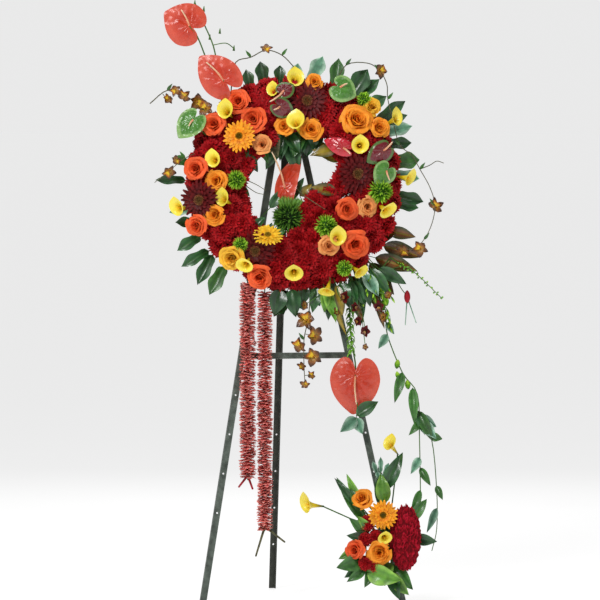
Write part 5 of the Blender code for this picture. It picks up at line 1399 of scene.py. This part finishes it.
@dataclass
class IvyGarland:
    """Leafy vines laid round the ring's rim, their leaves splayed outward."""

    spans: dict[str, tuple[float, float]] = field(default_factory=lambda: {
        "ivy_top": (112, 38), "ivy_right": (36, -16), "croton_right": (-18, -58), "ivy_bottom": (-62, -152),
        "ivy_left": (-158, -196)})
    leaves: dict[str, tuple[tuple[float, ...], ...]] = field(default_factory=lambda: {
        "ivy_top": ((-26, 104, -30, 126, 26, 14), (-14, 106, -10, 122, 26, 12), (22, 108, 33, 131, 24, 16),
                    (46, 102, 49, 129, 26, 15), (62, 96, 78, 118, 26, 20), (78, 92, 97, 91, 30, 14),
                    (-36, 100, -44, 118, 24, 12), (4, 108, 8, 124, 24, 12), (70, 98, 90, 108, 22, 14)),
        "ivy_right": ((92, 80, 103, 74, 30, 12), (98, 74, 116, 86, 26, 13), (104, 58, 123, 61, 28, 14),
                      (108, 30, 130, 27, 28, 18), (112, -2, 134, -15, 28, 13), (112, -22, 129, -21, 26, 12),
                      (104, 46, 122, 44, 24, 13), (112, 14, 130, 8, 24, 13), (100, 68, 118, 72, 24, 13)),
        "croton_right": ((84, -40, 106, -46, 60, 16), (100, -62, 132, -70, 26, 15),
                         (84, -78, 128, -84, 40, 15),
                         (86, -82, 104, -107, 38, 14), (60, -92, 76, -116, 34, 13),
                         (104, -48, 126, -50, 26, 12)),
        "ivy_bottom": ((0, -104, -16, -128, 26, 17), (-18, -102, -6, -126, 26, 14),
                       (22, -98, 30, -118, 28, 13),
                       (-68, -84, -80, -106, 26, 15), (-80, -70, -92, -96, 26, 14),
                       (-92, -50, -112, -62, 26, 13), (-40, -98, -46, -116, 24, 13),
                       (8, -104, 14, -122, 24, 12), (-90, -64, -108, -78, 24, 12)),
        "ivy_left": ((-104, 8, -134, 8, 30, 10), (-98, -40, -114, -34, 28, 11),
                     (-104, -20, -120, -24, 24, 11), (-102, 24, -118, 30, 24, 10)),
    })
    vine_radius: float = 1.8 * MM

    def build(self) -> None:
        """Build each vine with its leaves."""
        for name, leaves in self.leaves.items():
            group = Gathering()
            first, last = self.spans[name]
            route = [RING.on_ring(RING.foam_outer + 5.5 * MM, math.radians(first + (last - first) * k / 9),
                                  RING.tray_rim + 2.4 * MM) for k in range(10)]
            group.tube(route, self.vine_radius, 1.2 * MM, 0, 6, 0.5, 2)
            croton = name == "croton_right"
            for k, (across, up, tip_across, tip_up, lift, width) in enumerate(leaves):
                base = RING.spot(across, up, lift)
                root = min(route, key=lambda point: (point - base).length)
                tip = RING.spot(tip_across, tip_up, lift + 4)
                start = root.lerp(tip, 0.22) + RING.out * 0.004
                group.tube([root, start, start.lerp(tip, 0.2)], 1.2 * MM, 0.8 * MM, 0, 5, 0.6, 2)
                face = (-RING.sight + Vector((0, 0, 0.25))).normalized()
                tone = 1 + (0 if croton else (k % 4 == 3) + 2 * (k % 5 == 2))
                blade(group, start, tip, width * RING.step * 1.1, face, tone, (k * 0.37) % 1, 0.06, 0.03,
                      0 if croton else 2)
            tones = [Tone.STEM, Tone.CROTON] if croton else [Tone.STEM, Tone.IVY, Tone.LEAF, Tone.SILVER_LEAF]
            group.piece("dressed_" + name, tones, "wreath", [name],
                        "croton_leaves" if croton else "dark_leaves")


@dataclass
class Undergrowth:
    """The leaves, pods and small dark flowers massed under the ring's lower right.

    A leaf is its base and tip (across, up, lift), its width in steps and the number of its tone; a
    flower is (across, up, lift), its radius in mm and the number of its tone.
    """

    leaves: tuple[tuple[Place, Place, float, int], ...] = (
        ((-10, -100, 70), (-16, -126, 60), 18, 1), ((2, -100, 68), (6, -128, 62), 17, 1),
        ((34, -98, 78), (46, -134, 74), 12, 2), ((38, -98, 80), (34, -124, 80), 11, 2),
        ((46, -96, 82), (52, -128, 84), 11, 3), ((60, -92, 78), (66, -124, 74), 13, 1),
        ((70, -88, 78), (80, -118, 76), 12, 1), ((56, -96, 70), (74, -134, 66), 11, 4),
        ((80, -80, 76), (100, -108, 76), 12, 1), ((88, -80, 74), (116, -96, 74), 13, 1),
        ((26, -98, 70), (22, -124, 66), 12, 1), ((76, -92, 70), (92, -126, 66), 10, 4),
        ((64, -100, 62), (62, -128, 62), 9, 2), ((84, -96, 64), (94, -140, 58), 8, 4),
        ((14, -98, 66), (12, -116, 60), 13, 1), ((40, -104, 70), (56, -146, 66), 8, 3),
        ((50, -94, 76), (58, -118, 82), 14, 1), ((62, -92, 76), (74, -116, 84), 14, 1),
        ((74, -86, 76), (88, -108, 84), 14, 5), ((42, -98, 66), (38, -132, 60), 12, 1),
        ((68, -90, 66), (70, -138, 58), 12, 1), ((66, -226, 40), (88, -212, 48), 14, 1),
        ((66, -228, 40), (50, -242, 46), 13, 5), ((66, -228, 40), (72, -244, 44), 12, 5),
        ((128.2, -232, 37.2), (146, -250, 44), 13, 5), ((128, -228, 37.3), (146, -238, 44), 12, 5),
        ((127.7, -222, 37.3), (134, -246, 46), 12, 1))
    flowers: tuple[tuple[float, float, float, float, int], ...] = (
        (55, -108, 100, 15, 6), (75, -142, 80, 13, 6), (68, -132, 82, 12, 6), (93, -128, 88, 14, 7),
        (64, -118, 94, 12, 6), (75, -158, 62, 8, 7), (88, -118, 88, 13, 6), (14, -116, 84, 12, 7),
        (46, -122, 84, 11, 7), (98, -106, 88, 11, 7))
    pods: tuple[tuple[Place, Place], ...] = (
        ((80, -86, 82), (76, -106, 84)), ((84, -86, 82), (84, -112, 84)), ((90, -88, 80), (94, -114, 82)),
        ((94, -90, 78), (102, -112, 80)), ((78, -96, 80), (72, -116, 80)), ((96, -120, 62), (100, -142, 58)))

    def build(self) -> None:
        """Build the growth, each stem from the foam."""
        group = Gathering()
        head = Orchid().model(7)
        for k, (base, tip, width, tone) in enumerate(self.leaves):
            start, end = RING.spot(*base), RING.spot(*tip)
            if base[1] > -150:
                group.tube([RING.on_foam(base[:2], LEAF_ROOT), start, start.lerp(end, 0.3)], 1.3 * MM,
                           0.8 * MM, 0, 5, 0.4, 3)
            else:
                group.tube([start, start.lerp(end, 0.4)], 1.2 * MM, 0.8 * MM, 0, 5, 0.4, 1)
            if base[0] == 66:
                behind = [RING.spot(65, -176, 39), RING.spot(68, -200, 26), start]
                group.tube(behind, 1.3 * MM, 1.0 * MM, 0, 5, 0.4, 4)
            blade(group, start, end, width * RING.step, RING.towards(0.2 * (-1) ** k, 0.2), tone,
                  (k * 0.37) % 1, 0.10, 0.05)
        for across, up, lift, size, tone in self.flowers:
            place = RING.spot(across, up, lift)
            group.tube([RING.on_foam((across, -90), LEAF_ROOT), RING.spot(across * 0.5 + 30, -98, 72),
                        place], 1.2 * MM, 1.0 * MM, 0)
            group.add(head, facing(place, RING.towards(math.sin(across), 0.1), across), size * MM * 1.35, 0,
                      (tone, 7))
        for k, (start, end) in enumerate(self.pods):
            first, last = RING.spot(*start), RING.spot(*end)
            group.tube([RING.on_foam(start[:2], LEAF_ROOT), first, last], 1.0 * MM, 0.8 * MM, 0)
            for n in range(5):
                root = first.lerp(last, n / 5)
                tip = first.lerp(last, n / 5 + 0.3) + RING.across * (0.004 * (-1) ** n)
                group.tube([root, root.lerp(tip, 0.5), tip], 2.6 * MM, 2.6 * MM, 8, 6,
                           (k * 0.3 + n * 0.2) % 1, 3, lambda share: 0.3 + 0.8 * math.sin(math.pi * share))
        tones = [Tone.STEM, Tone.IVY, Tone.FRESH_LEAF, Tone.OLIVE_LEAF, Tone.CROTON, Tone.SILVER_LEAF,
                 Tone.MAROON, Tone.BRONZE_ORCHID, Tone.LIME]
        group.piece("undergrowth", tones, "wreath", [], "dark_leaves")


def nearest(route: Sequence[Place], across: float, up: float) -> Place:
    """The place on a route that lies nearest to a place.

    Args:
        route: Places (across, up, lift).
        across: The place's steps across.
        up: Its steps up.

    Returns:
        The nearest place.
    """
    best: tuple[float, Place] | None = None
    for start, end in zip(route, route[1:]):
        run = (end[0] - start[0], end[1] - start[1])
        length = run[0] ** 2 + run[1] ** 2
        share = ((across - start[0]) * run[0] + (up - start[1]) * run[1]) / length
        share = min(max(share, 0.0), 1.0)
        place = tuple(a + (b - a) * share for a, b in zip(start, end))
        far = math.hypot(place[0] - across, place[1] - up)
        if best is None or far < best[0]:
            best = (far, place)
    return best[1]


@dataclass
class OrchidSprays:
    """The arching sprays of small brown and gold orchids, and the flowering vine."""

    sprays: dict[str, tuple[tuple[Place, ...], tuple[Place, ...]]] = field(default_factory=lambda: {
        "orchid_sprays_left": (
            ((-139, 84, 78), (-122, 97, 84), (-104, 92, 92), (-84, 74, 84), (-82, 50, 62), (-84, 44, 46),
             (-82, 40, 62), (-104, 30, 84), (-120, 17, 84), (-134, 6, 80)),
            ((-84, 79, 9), (-93, 86, 9), (-104, 92, 8), (-114, 97, 6), (-122, 88, 6), (-112, 28, 6),
             (-120, 17, 7))),
        "orchid_spray_hanging": (
            ((20, -88, 46), (20, -108, 74), (18, -130, 70), (14, -150, 66), (14, -176, 60), (15, -194, 54)),
            ((16, -131, 10), (23, -146, 10), (10, -155, 9), (23, -167, 9), (11, -177, 5), (22, -185, 5),
             (15, -194, 5))),
        "flowering_vine": (
            ((-60, 70, 46), (-58, 104, 76), (-54, 125, 62), (-39, 130, 56), (-24, 137, 54), (-8, 132, 54),
             (6, 118, 58), (24, 100, 58), (42, 100, 58), (56, 122, 66), (78, 124, 66), (90, 116, 66),
             (97, 103, 66), (98, 88, 62), (104, 62, 58), (110, 42, 58), (122, 32, 60), (130, 18, 60),
             (140, 0, 60), (145, -18, 60), (142, -36, 60), (134, -52, 58), (122, -62, 56), (100, -56, 46)),
            ((-24, 138, 6), (90, 117, 8), (147, -18, 9), (130, -61, 8), (113, -64, 7))),
    })

    def build(self) -> None:
        """Build the sprays."""
        models = [Orchid().model(seed) for seed in range(3)]
        for name, (route, flowers) in self.sprays.items():
            group = Gathering()
            group.tube([RING.spot(*point) for point in route], 1.6 * MM, 1.0 * MM, 2, 6, 0.5, 4)
            for k, (across, up, width) in enumerate(flowers):
                near = nearest(route, across, up)
                centre = RING.spot(across, up, near[2] + 3)
                way = RING.towards(math.sin(k * 2.1) * 0.8, math.cos(k * 1.7) * 0.6)
                group.add(models[k % 3], facing(centre, way, across), width * RING.step * 1.1, 0, (0, 1))
                group.tube([RING.spot(*near), centre], 1.0 * MM, 1.0 * MM, 2, 5, 0.5, 1)
            if name == "flowering_vine":
                curl = [RING.spot(*point) for point in (
                    (130, 18, 60), (140, 22, 62), (147, 26, 62), (154, 24, 62))]
                group.tube(curl, 1.4 * MM, 0.9 * MM, 2)
            for k, place in enumerate(route[1:-1:2]):
                root = RING.spot(*place)
                tip = root + RING.across * (0.014 * (-1) ** k) + Vector((0, 0, 0.018)) - RING.sight * 0.004
                blade(group, root, tip, 8 * MM, -RING.sight, 3, (k * 0.31) % 1)
            group.piece("dressed_" + name, [Tone.BRONZE_ORCHID, Tone.ORCHID_LIP, Tone.VINE, Tone.LEAF],
                        "wreath", [name], "bronze_orchids")


@dataclass
class PetalStrings:
    """The two hanging strings of threaded petals, with their tails.

    A string is its hub, its top and bottom in steps, its width, and the ends of its tails.
    """

    strings: dict[str, tuple[tuple[float, float], float, float, float,
                             tuple[tuple[float, float], ...]]] = field(
        default_factory=lambda: {
            "petal_string_left": ((-42, -66), -94, -290, 13.5, ((-51, -297), (-37, -299))),
            "petal_string_right": ((-25, -74), -103, -341, 12.5, ((-34, -366), (-5, -352))),
        })
    lift: float = 62
    pitch: float = 7.5 * MM
    petals: int = 11

    def build(self) -> None:
        """Build both strings."""
        for number, (name, (hub, top, bottom, width, tails)) in enumerate(self.strings.items()):
            rng = np.random.default_rng(30 + number)
            head = RING.spot(hub[0], top, self.lift)
            drop = (top - bottom) * RING.step
            radius = width * RING.step / 2
            group = Gathering()
            for k in range(int(drop / self.pitch)):
                level = Vector((head.x, head.y, head.z - (k + 0.5) * self.pitch))
                for n in range(self.petals):
                    along, side = spread(4, 5)
                    tilt = rng.uniform(-0.2, 0.1) + 0.22 * (-1) ** n
                    long = radius * rng.uniform(0.9, 1.2)
                    wide = long * 0.72 * (0.3 + 0.7 * np.sin(math.pi * 0.62 * along))
                    wave = 0.12 * long * along * np.sin(side * 4 + rng.uniform(0, 6))
                    x = long * along * math.cos(tilt)
                    z = long * along * math.sin(tilt) + wave
                    grid = turned(np.stack([x, side * wide, z], axis=-1),
                                  k * GOLDEN_TURN + n * 2 * math.pi / self.petals + rng.uniform(-0.2, 0.2))
                    group.sheet(grid + np.array(level), along * rng.uniform(0.35, 1.1),
                                rng.uniform(0.1, 0.95))
            foot = Vector((head.x, head.y, head.z - drop))
            group.tube([foot, head, head + Vector((0, 0, 0.012)), RING.on_foam(hub, LONE_PICK_FOOT)],
                       1.6 * MM, 1.6 * MM, 1, 5, 0.4, 2)
            for across, up in tails:
                end = head + RING.across * ((across - hub[0]) * RING.step)
                end.z = RING.centre.z + up * RING.step
                start = foot + Vector((0, 0, 0.012))
                group.tube([start, start.lerp(end, 0.5), end], 3.4 * MM, 2.4 * MM, 2, 8, 0.5, 4)
            last = Tone.RED_TIP if number == 0 else Tone.VINE
            group.piece("dressed_" + name, [Tone.SALMON, Tone.STEM, last], "wreath", [name], "pink_petals")


@dataclass
class Cascade:
    """The trailing stems, buds and leaves from the ring's lower right to the bouquet."""

    stem: tuple[Place, ...] = (
        (60, -62, 46), (70, -74, 62), (84, -92, 58), (95, -122, 50), (97, -146, 46), (112, -184, 40),
        (127, -206, 38), (129, -250, 36), (130, -314, 34))
    side: tuple[Place, ...] = (
        (128, -226, 37), (141, -250, 36), (146, -300, 34), (146, -338, 32), (141, -360, 32))
    buds: tuple[Place, ...] = (
        (87, -88, 5.5), (80, -95, 5), (91, -102, 5.5), (98, -112, 5.5), (106, -176, 5), (116, -197, 5),
        (90, -96, 5), (94, -107, 5), (84, -100, 5), (104, -188, 4), (96, -128, 5), (92, -118, 5))
    leaves: tuple[tuple[tuple[float, float], tuple[float, float], float], ...] = (
        ((129, -222), (142, -252), 11), ((140, -246), (152, -250), 9), ((129, -268), (120, -284), 9),
        ((129, -278), (140, -296), 8), ((128, -300), (120, -326), 8), ((146, -318), (136, -342), 8),
        ((112, -184), (104, -214), 10), ((112, -206), (124, -236), 10), ((97, -146), (88, -160), 9),
        ((130, -232), (118, -246), 8), ((146, -296), (152, -310), 7), ((96, -134), (104, -146), 7))

    def build(self) -> None:
        """Build the cascade."""
        group = Gathering()
        for line, radius in ((self.stem, 1.7 * MM), (self.side, 1.4 * MM)):
            group.tube([RING.spot(*point) for point in line], radius, radius * 0.8, 0, 6, 0.5, 4)
        for k, (across, up, size) in enumerate(self.buds):
            near = nearest(self.stem, across, up)
            root = RING.spot(*near)
            centre = root.lerp(RING.spot(across, up, near[2] + 3), 0.6)
            long = Vector((0.002 * (-1) ** k, 0, size * RING.step * 0.9))
            group.tube([centre - long, centre, centre + long], size * RING.step * 0.5,
                       size * RING.step * 0.5, 1, 8,
                       (k * 0.29) % 1, 4, lambda share: 0.25 + 0.9 * math.sin(math.pi * share) ** 0.8)
            group.tube([root, centre], 1.0 * MM, 1.0 * MM, 0, 5, 0.5, 1)
        for k, (base, tip, width) in enumerate(self.leaves):
            near = min(nearest(self.stem, *base), nearest(self.side, *base),
                       key=lambda point: abs(point[0] - base[0]) + abs(point[1] - base[1]))
            blade(group, RING.spot(*near), RING.spot(tip[0], tip[1], near[2] + 6), width * RING.step,
                  -RING.sight, 2 + k % 3 // 2, (k * 0.41) % 1, 0.14)
        self.spear(group)
        self.wine_bud(group)
        tones = [Tone.STEM, Tone.LIME, Tone.LEAF, Tone.SILVER_LEAF, Tone.RED_TIP, Tone.FRESH_LEAF]
        group.piece("dressed_trailing_vine", tones, "wreath", ["trailing_vine"], "green_stems")

    def spear(self, group: Gathering) -> None:
        """Add the spear of green berries.

        Args:
            group: What it is added to.
        """
        route = [RING.spot(*point) for point in (
            (100, -70, 46), (112, -78, 54), (126, -86, 56), (152, -111, 56))]
        group.tube(route, 1.8 * MM, 1.0 * MM, 0, 6, 0.5, 3)
        group.tube([RING.spot(100, -70, 46), RING.spot(92, -80, 52), RING.spot(84, -92, 58)], 1.8 * MM,
                   1.8 * MM, 0)
        line = smoothed(route, 14)
        for k, point in enumerate(line[10:]):
            fan = (RING.across * math.cos(k * 2.4) + Vector((0, 0, 1)) * math.sin(k * 2.4)) * 0.0042
            spot = point + fan - RING.sight * 0.002
            group.tube([spot - fan * 0.6, spot, spot + fan * 0.7], 2.6 * MM, 2.0 * MM, 5 if k % 3 else 1, 6,
                       (k * 0.37) % 1, 2, lambda share: 0.35 + 0.8 * math.sin(math.pi * share))

    def wine_bud(self, group: Gathering) -> None:
        """Add the burgundy bud and its two legs.

        Args:
            group: What it is added to.
        """
        route = ((100, -82, 46), (106, -92, 50), (112, -102, 50), (117, -108, 50))
        group.tube([RING.spot(*point) for point in route], 1.2 * MM, 1.2 * MM, 0)
        group.tube([RING.spot(112, -78, 54), RING.spot(106, -80, 48), RING.spot(100, -82, 46)], 1.2 * MM,
                   1.2 * MM, 0)
        centre = RING.spot(117, -109, 50)
        tall = Vector((0, 0, 6.5 * RING.step))
        group.tube([centre + tall, centre, centre - tall], 5 * RING.step * 0.62, 5 * RING.step * 0.62, 4,
                   10, 0.5, 5, lambda share: 0.2 + 0.85 * math.sin(math.pi * share) ** 0.7)
        for far in ((115, -137, 48), (126, -135, 48)):
            group.tube([centre, RING.spot(*far)], 1.6 * MM, 1.2 * MM, 3, 6, 0.6, 2)


@dataclass
class Bouquet:
    """The small bouquet on its foam cage on the right leg."""

    middle: tuple[float, float] = (96, -348)
    roses: tuple[tuple[float, float, float, float, Tone], ...] = (
        (71, -305, 19, 92, Tone.ORANGE_ROSE), (64, -356, 18, 84, Tone.CORAL_ROSE),
        (88, -359, 22, 96, Tone.ORANGE_ROSE))
    callas: tuple[tuple[float, ...], ...] = (
        (14, -311, 17, 80, -1.6, 0.25), (94, -345, 13, 118, 0.2, -0.3), (98, -252, 14, 70, -0.9, 1.2))
    leaves: tuple[tuple[Place, Place, float], ...] = (
        ((90, -370, 42), (94, -392, 66), 24), ((100, -372, 40), (122, -397, 56), 16),
        ((80, -366, 38), (54, -384, 52), 17), ((76, -352, 42), (48, -366, 50), 15),
        ((76, -332, 30), (46, -286, 36), 12), ((92, -318, 36), (88, -276, 40), 13),
        ((84, -330, 40), (62, -330, 60), 12), ((84, -372, 40), (74, -394, 56), 13),
        ((70, -316, 60), (44, -286, 62), 9), ((70, -314, 62), (56, -282, 66), 9),
        ((70, -318, 66), (60, -296, 76), 10), ((92, -300, 52), (112, -262, 60), 15),
        ((94, -312, 60), (90, -282, 66), 15), ((78, -342, 70), (58, -324, 84), 11),
        ((78, -344, 72), (56, -342, 84), 12), ((80, -338, 74), (66, -322, 90), 9),
        ((118, -330, 56), (136, -308, 62), 12), ((122, -346, 56), (146, -350, 62), 12),
        ((76, -378, 62), (110, -386, 92), 21), ((72, -366, 60), (46, -374, 66), 17),
        ((100, -382, 50), (108, -406, 66), 13), ((96, -380, 50), (118, -402, 60), 14),
        ((74, -376, 54), (56, -388, 60), 10))
    heads: tuple[tuple[float, float, float, float], ...] = (
        (76, -330, 84, 21), (72, -346, 82, 21), (84, -344, 86, 20), (74, -370, 78, 18), (86, -374, 78, 18))
    silver: tuple[tuple[float, float], ...] = ((82, -270), (90, -266), (98, -272), (86, -280), (94, -282))
    comb_half_width: float = 15.5
    comb_half_height: float = 33

    def spots(self) -> tuple[Vector, Vector]:
        """Find where the bouquet grows from.

        Returns:
            Its heart in the cage, and the way up the leg.
        """
        height = RING.height + self.middle[1] * RING.step
        low = RING.on_legs(RING.leg_line(1, height - 0.035), height - 0.035)
        high = RING.on_legs(RING.leg_line(1, height + 0.035), height + 0.035)
        return (low + high) / 2 + RING.out * 0.022, (high - low).normalized()

    def build(self) -> None:
        """Build the bouquet's pieces."""
        heart, along = self.spots()
        hub = heart + RING.out * 0.030 + along * 0.008
        tones = [Tone.STEM, Tone.LEAF, Tone.ORANGE_RAY, Tone.OLIVE_DISC]
        blooms = Gathering()
        blooms.tube([hub, heart + RING.out * 0.009 + along * 0.008], 2.2 * MM, 2.2 * MM, 0, 6, 0.4, 1)
        for number, (across, up, width, lift, tone) in enumerate(self.roses):
            if tone not in tones:
                tones.append(tone)
            place = RING.spot(across, up, lift)
            direction = (place - heart).normalized() + RING.out
            blooms.add(Rose().model(number), facing(place, direction, across), width * RING.step / 2 * 1.08,
                       0, (tones.index(tone), 1))
            blooms.tube([place, hub], 1.8 * MM, 1.8 * MM, 0)
        centre = RING.spot(92, -322, 104)
        blooms.add(Gerbera().model(9), facing(centre, RING.towards(0, 0.15)), 15 * RING.step, 0, (2, 3))
        blooms.tube([centre, hub], 1.8 * MM, 1.8 * MM, 0)
        tones.append(Tone.CRIMSON)
        for number, (across, up, lift, size) in enumerate(self.heads):
            place = RING.spot(across, up, lift)
            blooms.add(Carnation().model(number),
                       facing(place, (place - heart).normalized() + RING.out, across),
                       size * MM, 0, (tones.index(Tone.CRIMSON),))
            blooms.tube([place, hub], 1.8 * MM, 1.8 * MM, 0)
        blooms.piece("dressed_bouquet_roses", tones, "wreath", ["bouquet_roses"], "orange_petals")
        self.comb(heart)
        self.trumpets(heart)
        self.foliage(heart, along)

    def comb(self, heart: Vector) -> None:
        """Build the velvety crimson cockscomb.

        Args:
            heart: The middle of the bouquet's cage.
        """
        centre = RING.spot(114, -345, 84)
        rows, columns = 34, 90
        grid, reach = np.zeros((rows, columns, 3)), np.zeros((rows, columns))
        for row in range(rows):
            polar = math.pi * 0.60 * row / (rows - 1)
            for column in range(columns):
                turn = 2 * math.pi * column / columns
                x, y, z = math.sin(polar) * math.cos(turn), math.sin(polar) * math.sin(turn), math.cos(polar)
                fold = noise.noise(Vector((x * 2.6, y * 5.0, z * 2.6)) * 1.6)
                ridge = 1 - min(abs(fold) * 5, 1)
                fuzz = noise.noise(Vector((x, y, z)) * 34) * 0.035
                swell = 0.90 + 0.15 * ridge + fuzz
                point = centre + RING.across * (self.comb_half_width * RING.step * x * swell)
                point += Vector((0, 0, self.comb_half_height * RING.step * y * swell))
                grid[row, column] = point + RING.out * (0.031 * z * swell)
                # The colour follows the folds: the raised crests take the lighter rim colour and the creases
                # between them the near-black root colour, as painted shade.
                reach[row, column] = 0.15 + 0.85 * ridge
        comb = Gathering()
        comb.sheet(grid, reach, 0.5, 0, True)
        comb.tube([centre + RING.out * 0.004, heart + RING.across * 0.014 + RING.out * 0.012], 5 * MM,
                  3 * MM, 1)
        comb.piece("dressed_cockscomb", [Tone.COMB, Tone.STEM], "wreath", ["cockscomb"], "crimson_petals")

    def trumpets(self, heart: Vector) -> None:
        """Build the bouquet's callas.

        Args:
            heart: The middle of the bouquet's cage.
        """
        hub = heart + RING.out * 0.028 - RING.across * 0.012
        group = Gathering()
        group.tube([hub, hub - RING.out * 0.022], 2 * MM, 2 * MM, 1, 6, 0.4, 1)
        for across, up, width, lift, right, top in self.callas:
            direction = RING.towards(right, top)
            place = RING.spot(across, up, lift)
            size = width * RING.step / 2
            group.add(Calla().model(), facing(place, direction, 1.6), size, 0, (0, 1, 2))
            base = place - direction * size * 2.6
            group.tube([base, base.lerp(hub, 0.5) + RING.out * 0.006, hub], 1.8 * MM, 1.8 * MM, 1, 6, 0.5, 5)
        group.piece("dressed_bouquet_callas", [Tone.CALLA_YELLOW, Tone.STEM, Tone.YELLOW_ROSE], "wreath",
                    ["bouquet_callas"], "yellow_petals")

    def foliage(self, heart: Vector, along: Vector) -> None:
        """Build the bouquet's leaves.

        Args:
            heart: The middle of the bouquet's cage.
            along: The way up the leg.
        """
        core = heart + RING.out * 0.027 - along * 0.012
        group = Gathering()
        group.tube([core, core - RING.out * 0.022], 2.2 * MM, 2.2 * MM, 0, 6, 0.4, 1)
        for k, (base, tip, width) in enumerate(self.leaves):
            start, end = RING.spot(*base), RING.spot(*tip)
            group.tube([core, start, start.lerp(end, 0.3)], 1.5 * MM, 1.0 * MM, 0, 6, 0.5, 3)
            blade(group, start, end, width * RING.step, -RING.sight, 1 + k % 3, (k * 0.43) % 1, 0.12, 0.05)
        for k, (across, up) in enumerate(self.silver):
            root, tip = RING.spot(90, -292, 56), RING.spot(across, up, 64)
            group.tube([core, root, root.lerp(tip, 0.4)], 1.3 * MM, 0.8 * MM, 0, 6, 0.5, 3)
            blade(group, root.lerp(tip, 0.4), tip, 15 * MM, -RING.sight, 4, (k * 0.43) % 1, 0.2, 0.1, 2)
        group.piece("dressed_bouquet_leaves",
                    [Tone.STEM, Tone.FRESH_LEAF, Tone.LEAF, Tone.IVY, Tone.SILVER_LEAF], "wreath",
                    ["bouquet_leaves"], "dark_leaves")


@dataclass
class StandFinish:
    """The finishes of the CAD nodes that stay: the easel, the tray and the foam."""

    tones: dict[str, Tone] = field(default_factory=lambda: {
        "leg_front_left": Tone.STEEL, "leg_front_right": Tone.STEEL, "leg_back": Tone.OLD_STEEL,
        "crossbar": Tone.STEEL, "crossbar_rivet_left": Tone.OLD_STEEL, "crossbar_rivet_right": Tone.OLD_STEEL,
        "head_bracket": Tone.STEEL, "pivot_bolt": Tone.OLD_STEEL, "hanger_hook": Tone.STEEL,
        "ring_tray": Tone.TRAY, "bouquet_tie": Tone.TRAY, "foam_ring": Tone.FOAM, "bouquet_cage": Tone.FOAM})

    def build(self, nodes: dict[str, bpy.types.Object]) -> None:
        """Give each node its finish.

        Args:
            nodes: The frame's nodes.
        """
        for name, tone in self.tones.items():
            for slot in nodes[name].material_slots:
                slot.material = tone.dress()
            LOG.info("%s: %s", name, tone.name.lower())


@dataclass
class Studio:
    """The pale floor, the soft lights and the camera at the photograph's angle.

    A lamp is its name, its place, its power and its width.
    """

    distance: float = 14.0
    elevation: float = math.radians(2.6)
    lens: float = 322.5
    aim_across: float = 10
    aim_up: float = -113
    floor_side: float = 400
    floor_tone: Colour = (0.62, 0.62, 0.62)
    floor_glow: float = 1.12
    backdrop: float = 0.791
    daylight: float = 0.20
    lamps: tuple[tuple[str, Place, float, float], ...] = (
        ("key", (-2.0, -3.2, 3.4), 112, 1.2), ("fill", (2.8, -3.0, 1.6), 12, 2.5),
        ("top", (0.2, 0.4, 3.6), 28, 2.0), ("back", (0.6, 3.2, 2.4), 26, 2.0))
    lit_height: float = 0.8
    exposure: float = 0.05

    def build(self) -> None:
        """Set the floor, world, lights and camera."""
        self.floor()
        self.world()
        for name, place, power, width in self.lamps:
            self.lamp(name, Vector(place), power, width)
        self.camera()
        bpy.context.scene.view_settings.view_transform = "Standard"
        bpy.context.scene.view_settings.exposure = self.exposure

    def floor(self) -> None:
        """Lay the pale floor."""
        bpy.ops.object.select_all(action="DESELECT")
        bpy.ops.mesh.primitive_plane_add(size=self.floor_side, location=(0, 0, -0.0005))
        floor = bpy.context.active_object
        floor.name = "studio_floor"
        pale = Finish(self.floor_tone, self.floor_tone, self.floor_tone, 0.8, 3, 0.01, 0.0,
                      lit=self.floor_glow)
        floor.data.materials.append(pale.material("finish_floor"))

    def world(self) -> None:
        """Set the even daylight, and the backdrop's tone behind the floor."""
        world = bpy.data.worlds.new("studio")
        bpy.context.scene.world = world
        world.use_nodes = True
        bench = NodeBench(world.node_tree)
        sky = world.node_tree.nodes["Background"]
        bench.feed(sky, {"Color": (1, 1, 1, 1), "Strength": self.daylight})
        tone = (self.backdrop, self.backdrop, self.backdrop, 1)
        backdrop = bench.add("ShaderNodeBackground", {"Color": tone})
        seen = bench.add("ShaderNodeLightPath")
        either = bench.add("ShaderNodeMixShader", {
            "Fac": seen.outputs["Is Camera Ray"], 1: sky.outputs["Background"],
            2: backdrop.outputs["Background"]})
        bench.feed(world.node_tree.nodes["World Output"], {"Surface": either.outputs["Shader"]})

    def lamp(self, name: str, place: Vector, power: float, width: float) -> None:
        """Hang one soft lamp, turned to the wreath.

        Args:
            name: Its name.
            place: Its place.
            power: Its power in watts.
            width: Its width.
        """
        light = bpy.data.lights.new(name, "AREA")
        light.energy = power
        light.size = width
        item = bpy.data.objects.new(name, light)
        item.location = place
        item.rotation_euler = (Vector((0, 0, self.lit_height)) - place).to_track_quat("-Z", "Y").to_euler()
        bpy.context.scene.collection.objects.link(item)

    def camera(self) -> None:
        """Stand the camera where the photograph was taken from."""
        aim = RING.centre + RING.across * (self.aim_across * RING.step)
        aim += Vector((0, 0, self.aim_up * RING.step))
        level = -RING.sight * math.cos(self.elevation) + Vector((0, 0, math.sin(self.elevation)))
        camera = bpy.data.cameras.new("camera")
        camera.lens = self.lens
        camera.sensor_width = 36
        camera.clip_end = 100
        item = bpy.data.objects.new("camera", camera)
        item.location = aim + level * self.distance
        item.rotation_euler = (-level).to_track_quat("-Z", "Y").to_euler()
        bpy.context.scene.collection.objects.link(item)
        bpy.context.scene.camera = item


def main() -> None:
    """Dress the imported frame."""
    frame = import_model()
    StandFinish().build(frame["nodes"])
    CarnationBed().build()
    RoseGroups().build()
    CallaGroups().build()
    ButtonGroups().build()
    GerberaPair().build()
    Anthuriums().build()
    HoleFoliage().build()
    IvyGarland().build()
    OrchidSprays().build()
    PetalStrings().build()
    Undergrowth().build()
    Cascade().build()
    Bouquet().build()
    Studio().build()


if __name__ == "__main__":
    main()
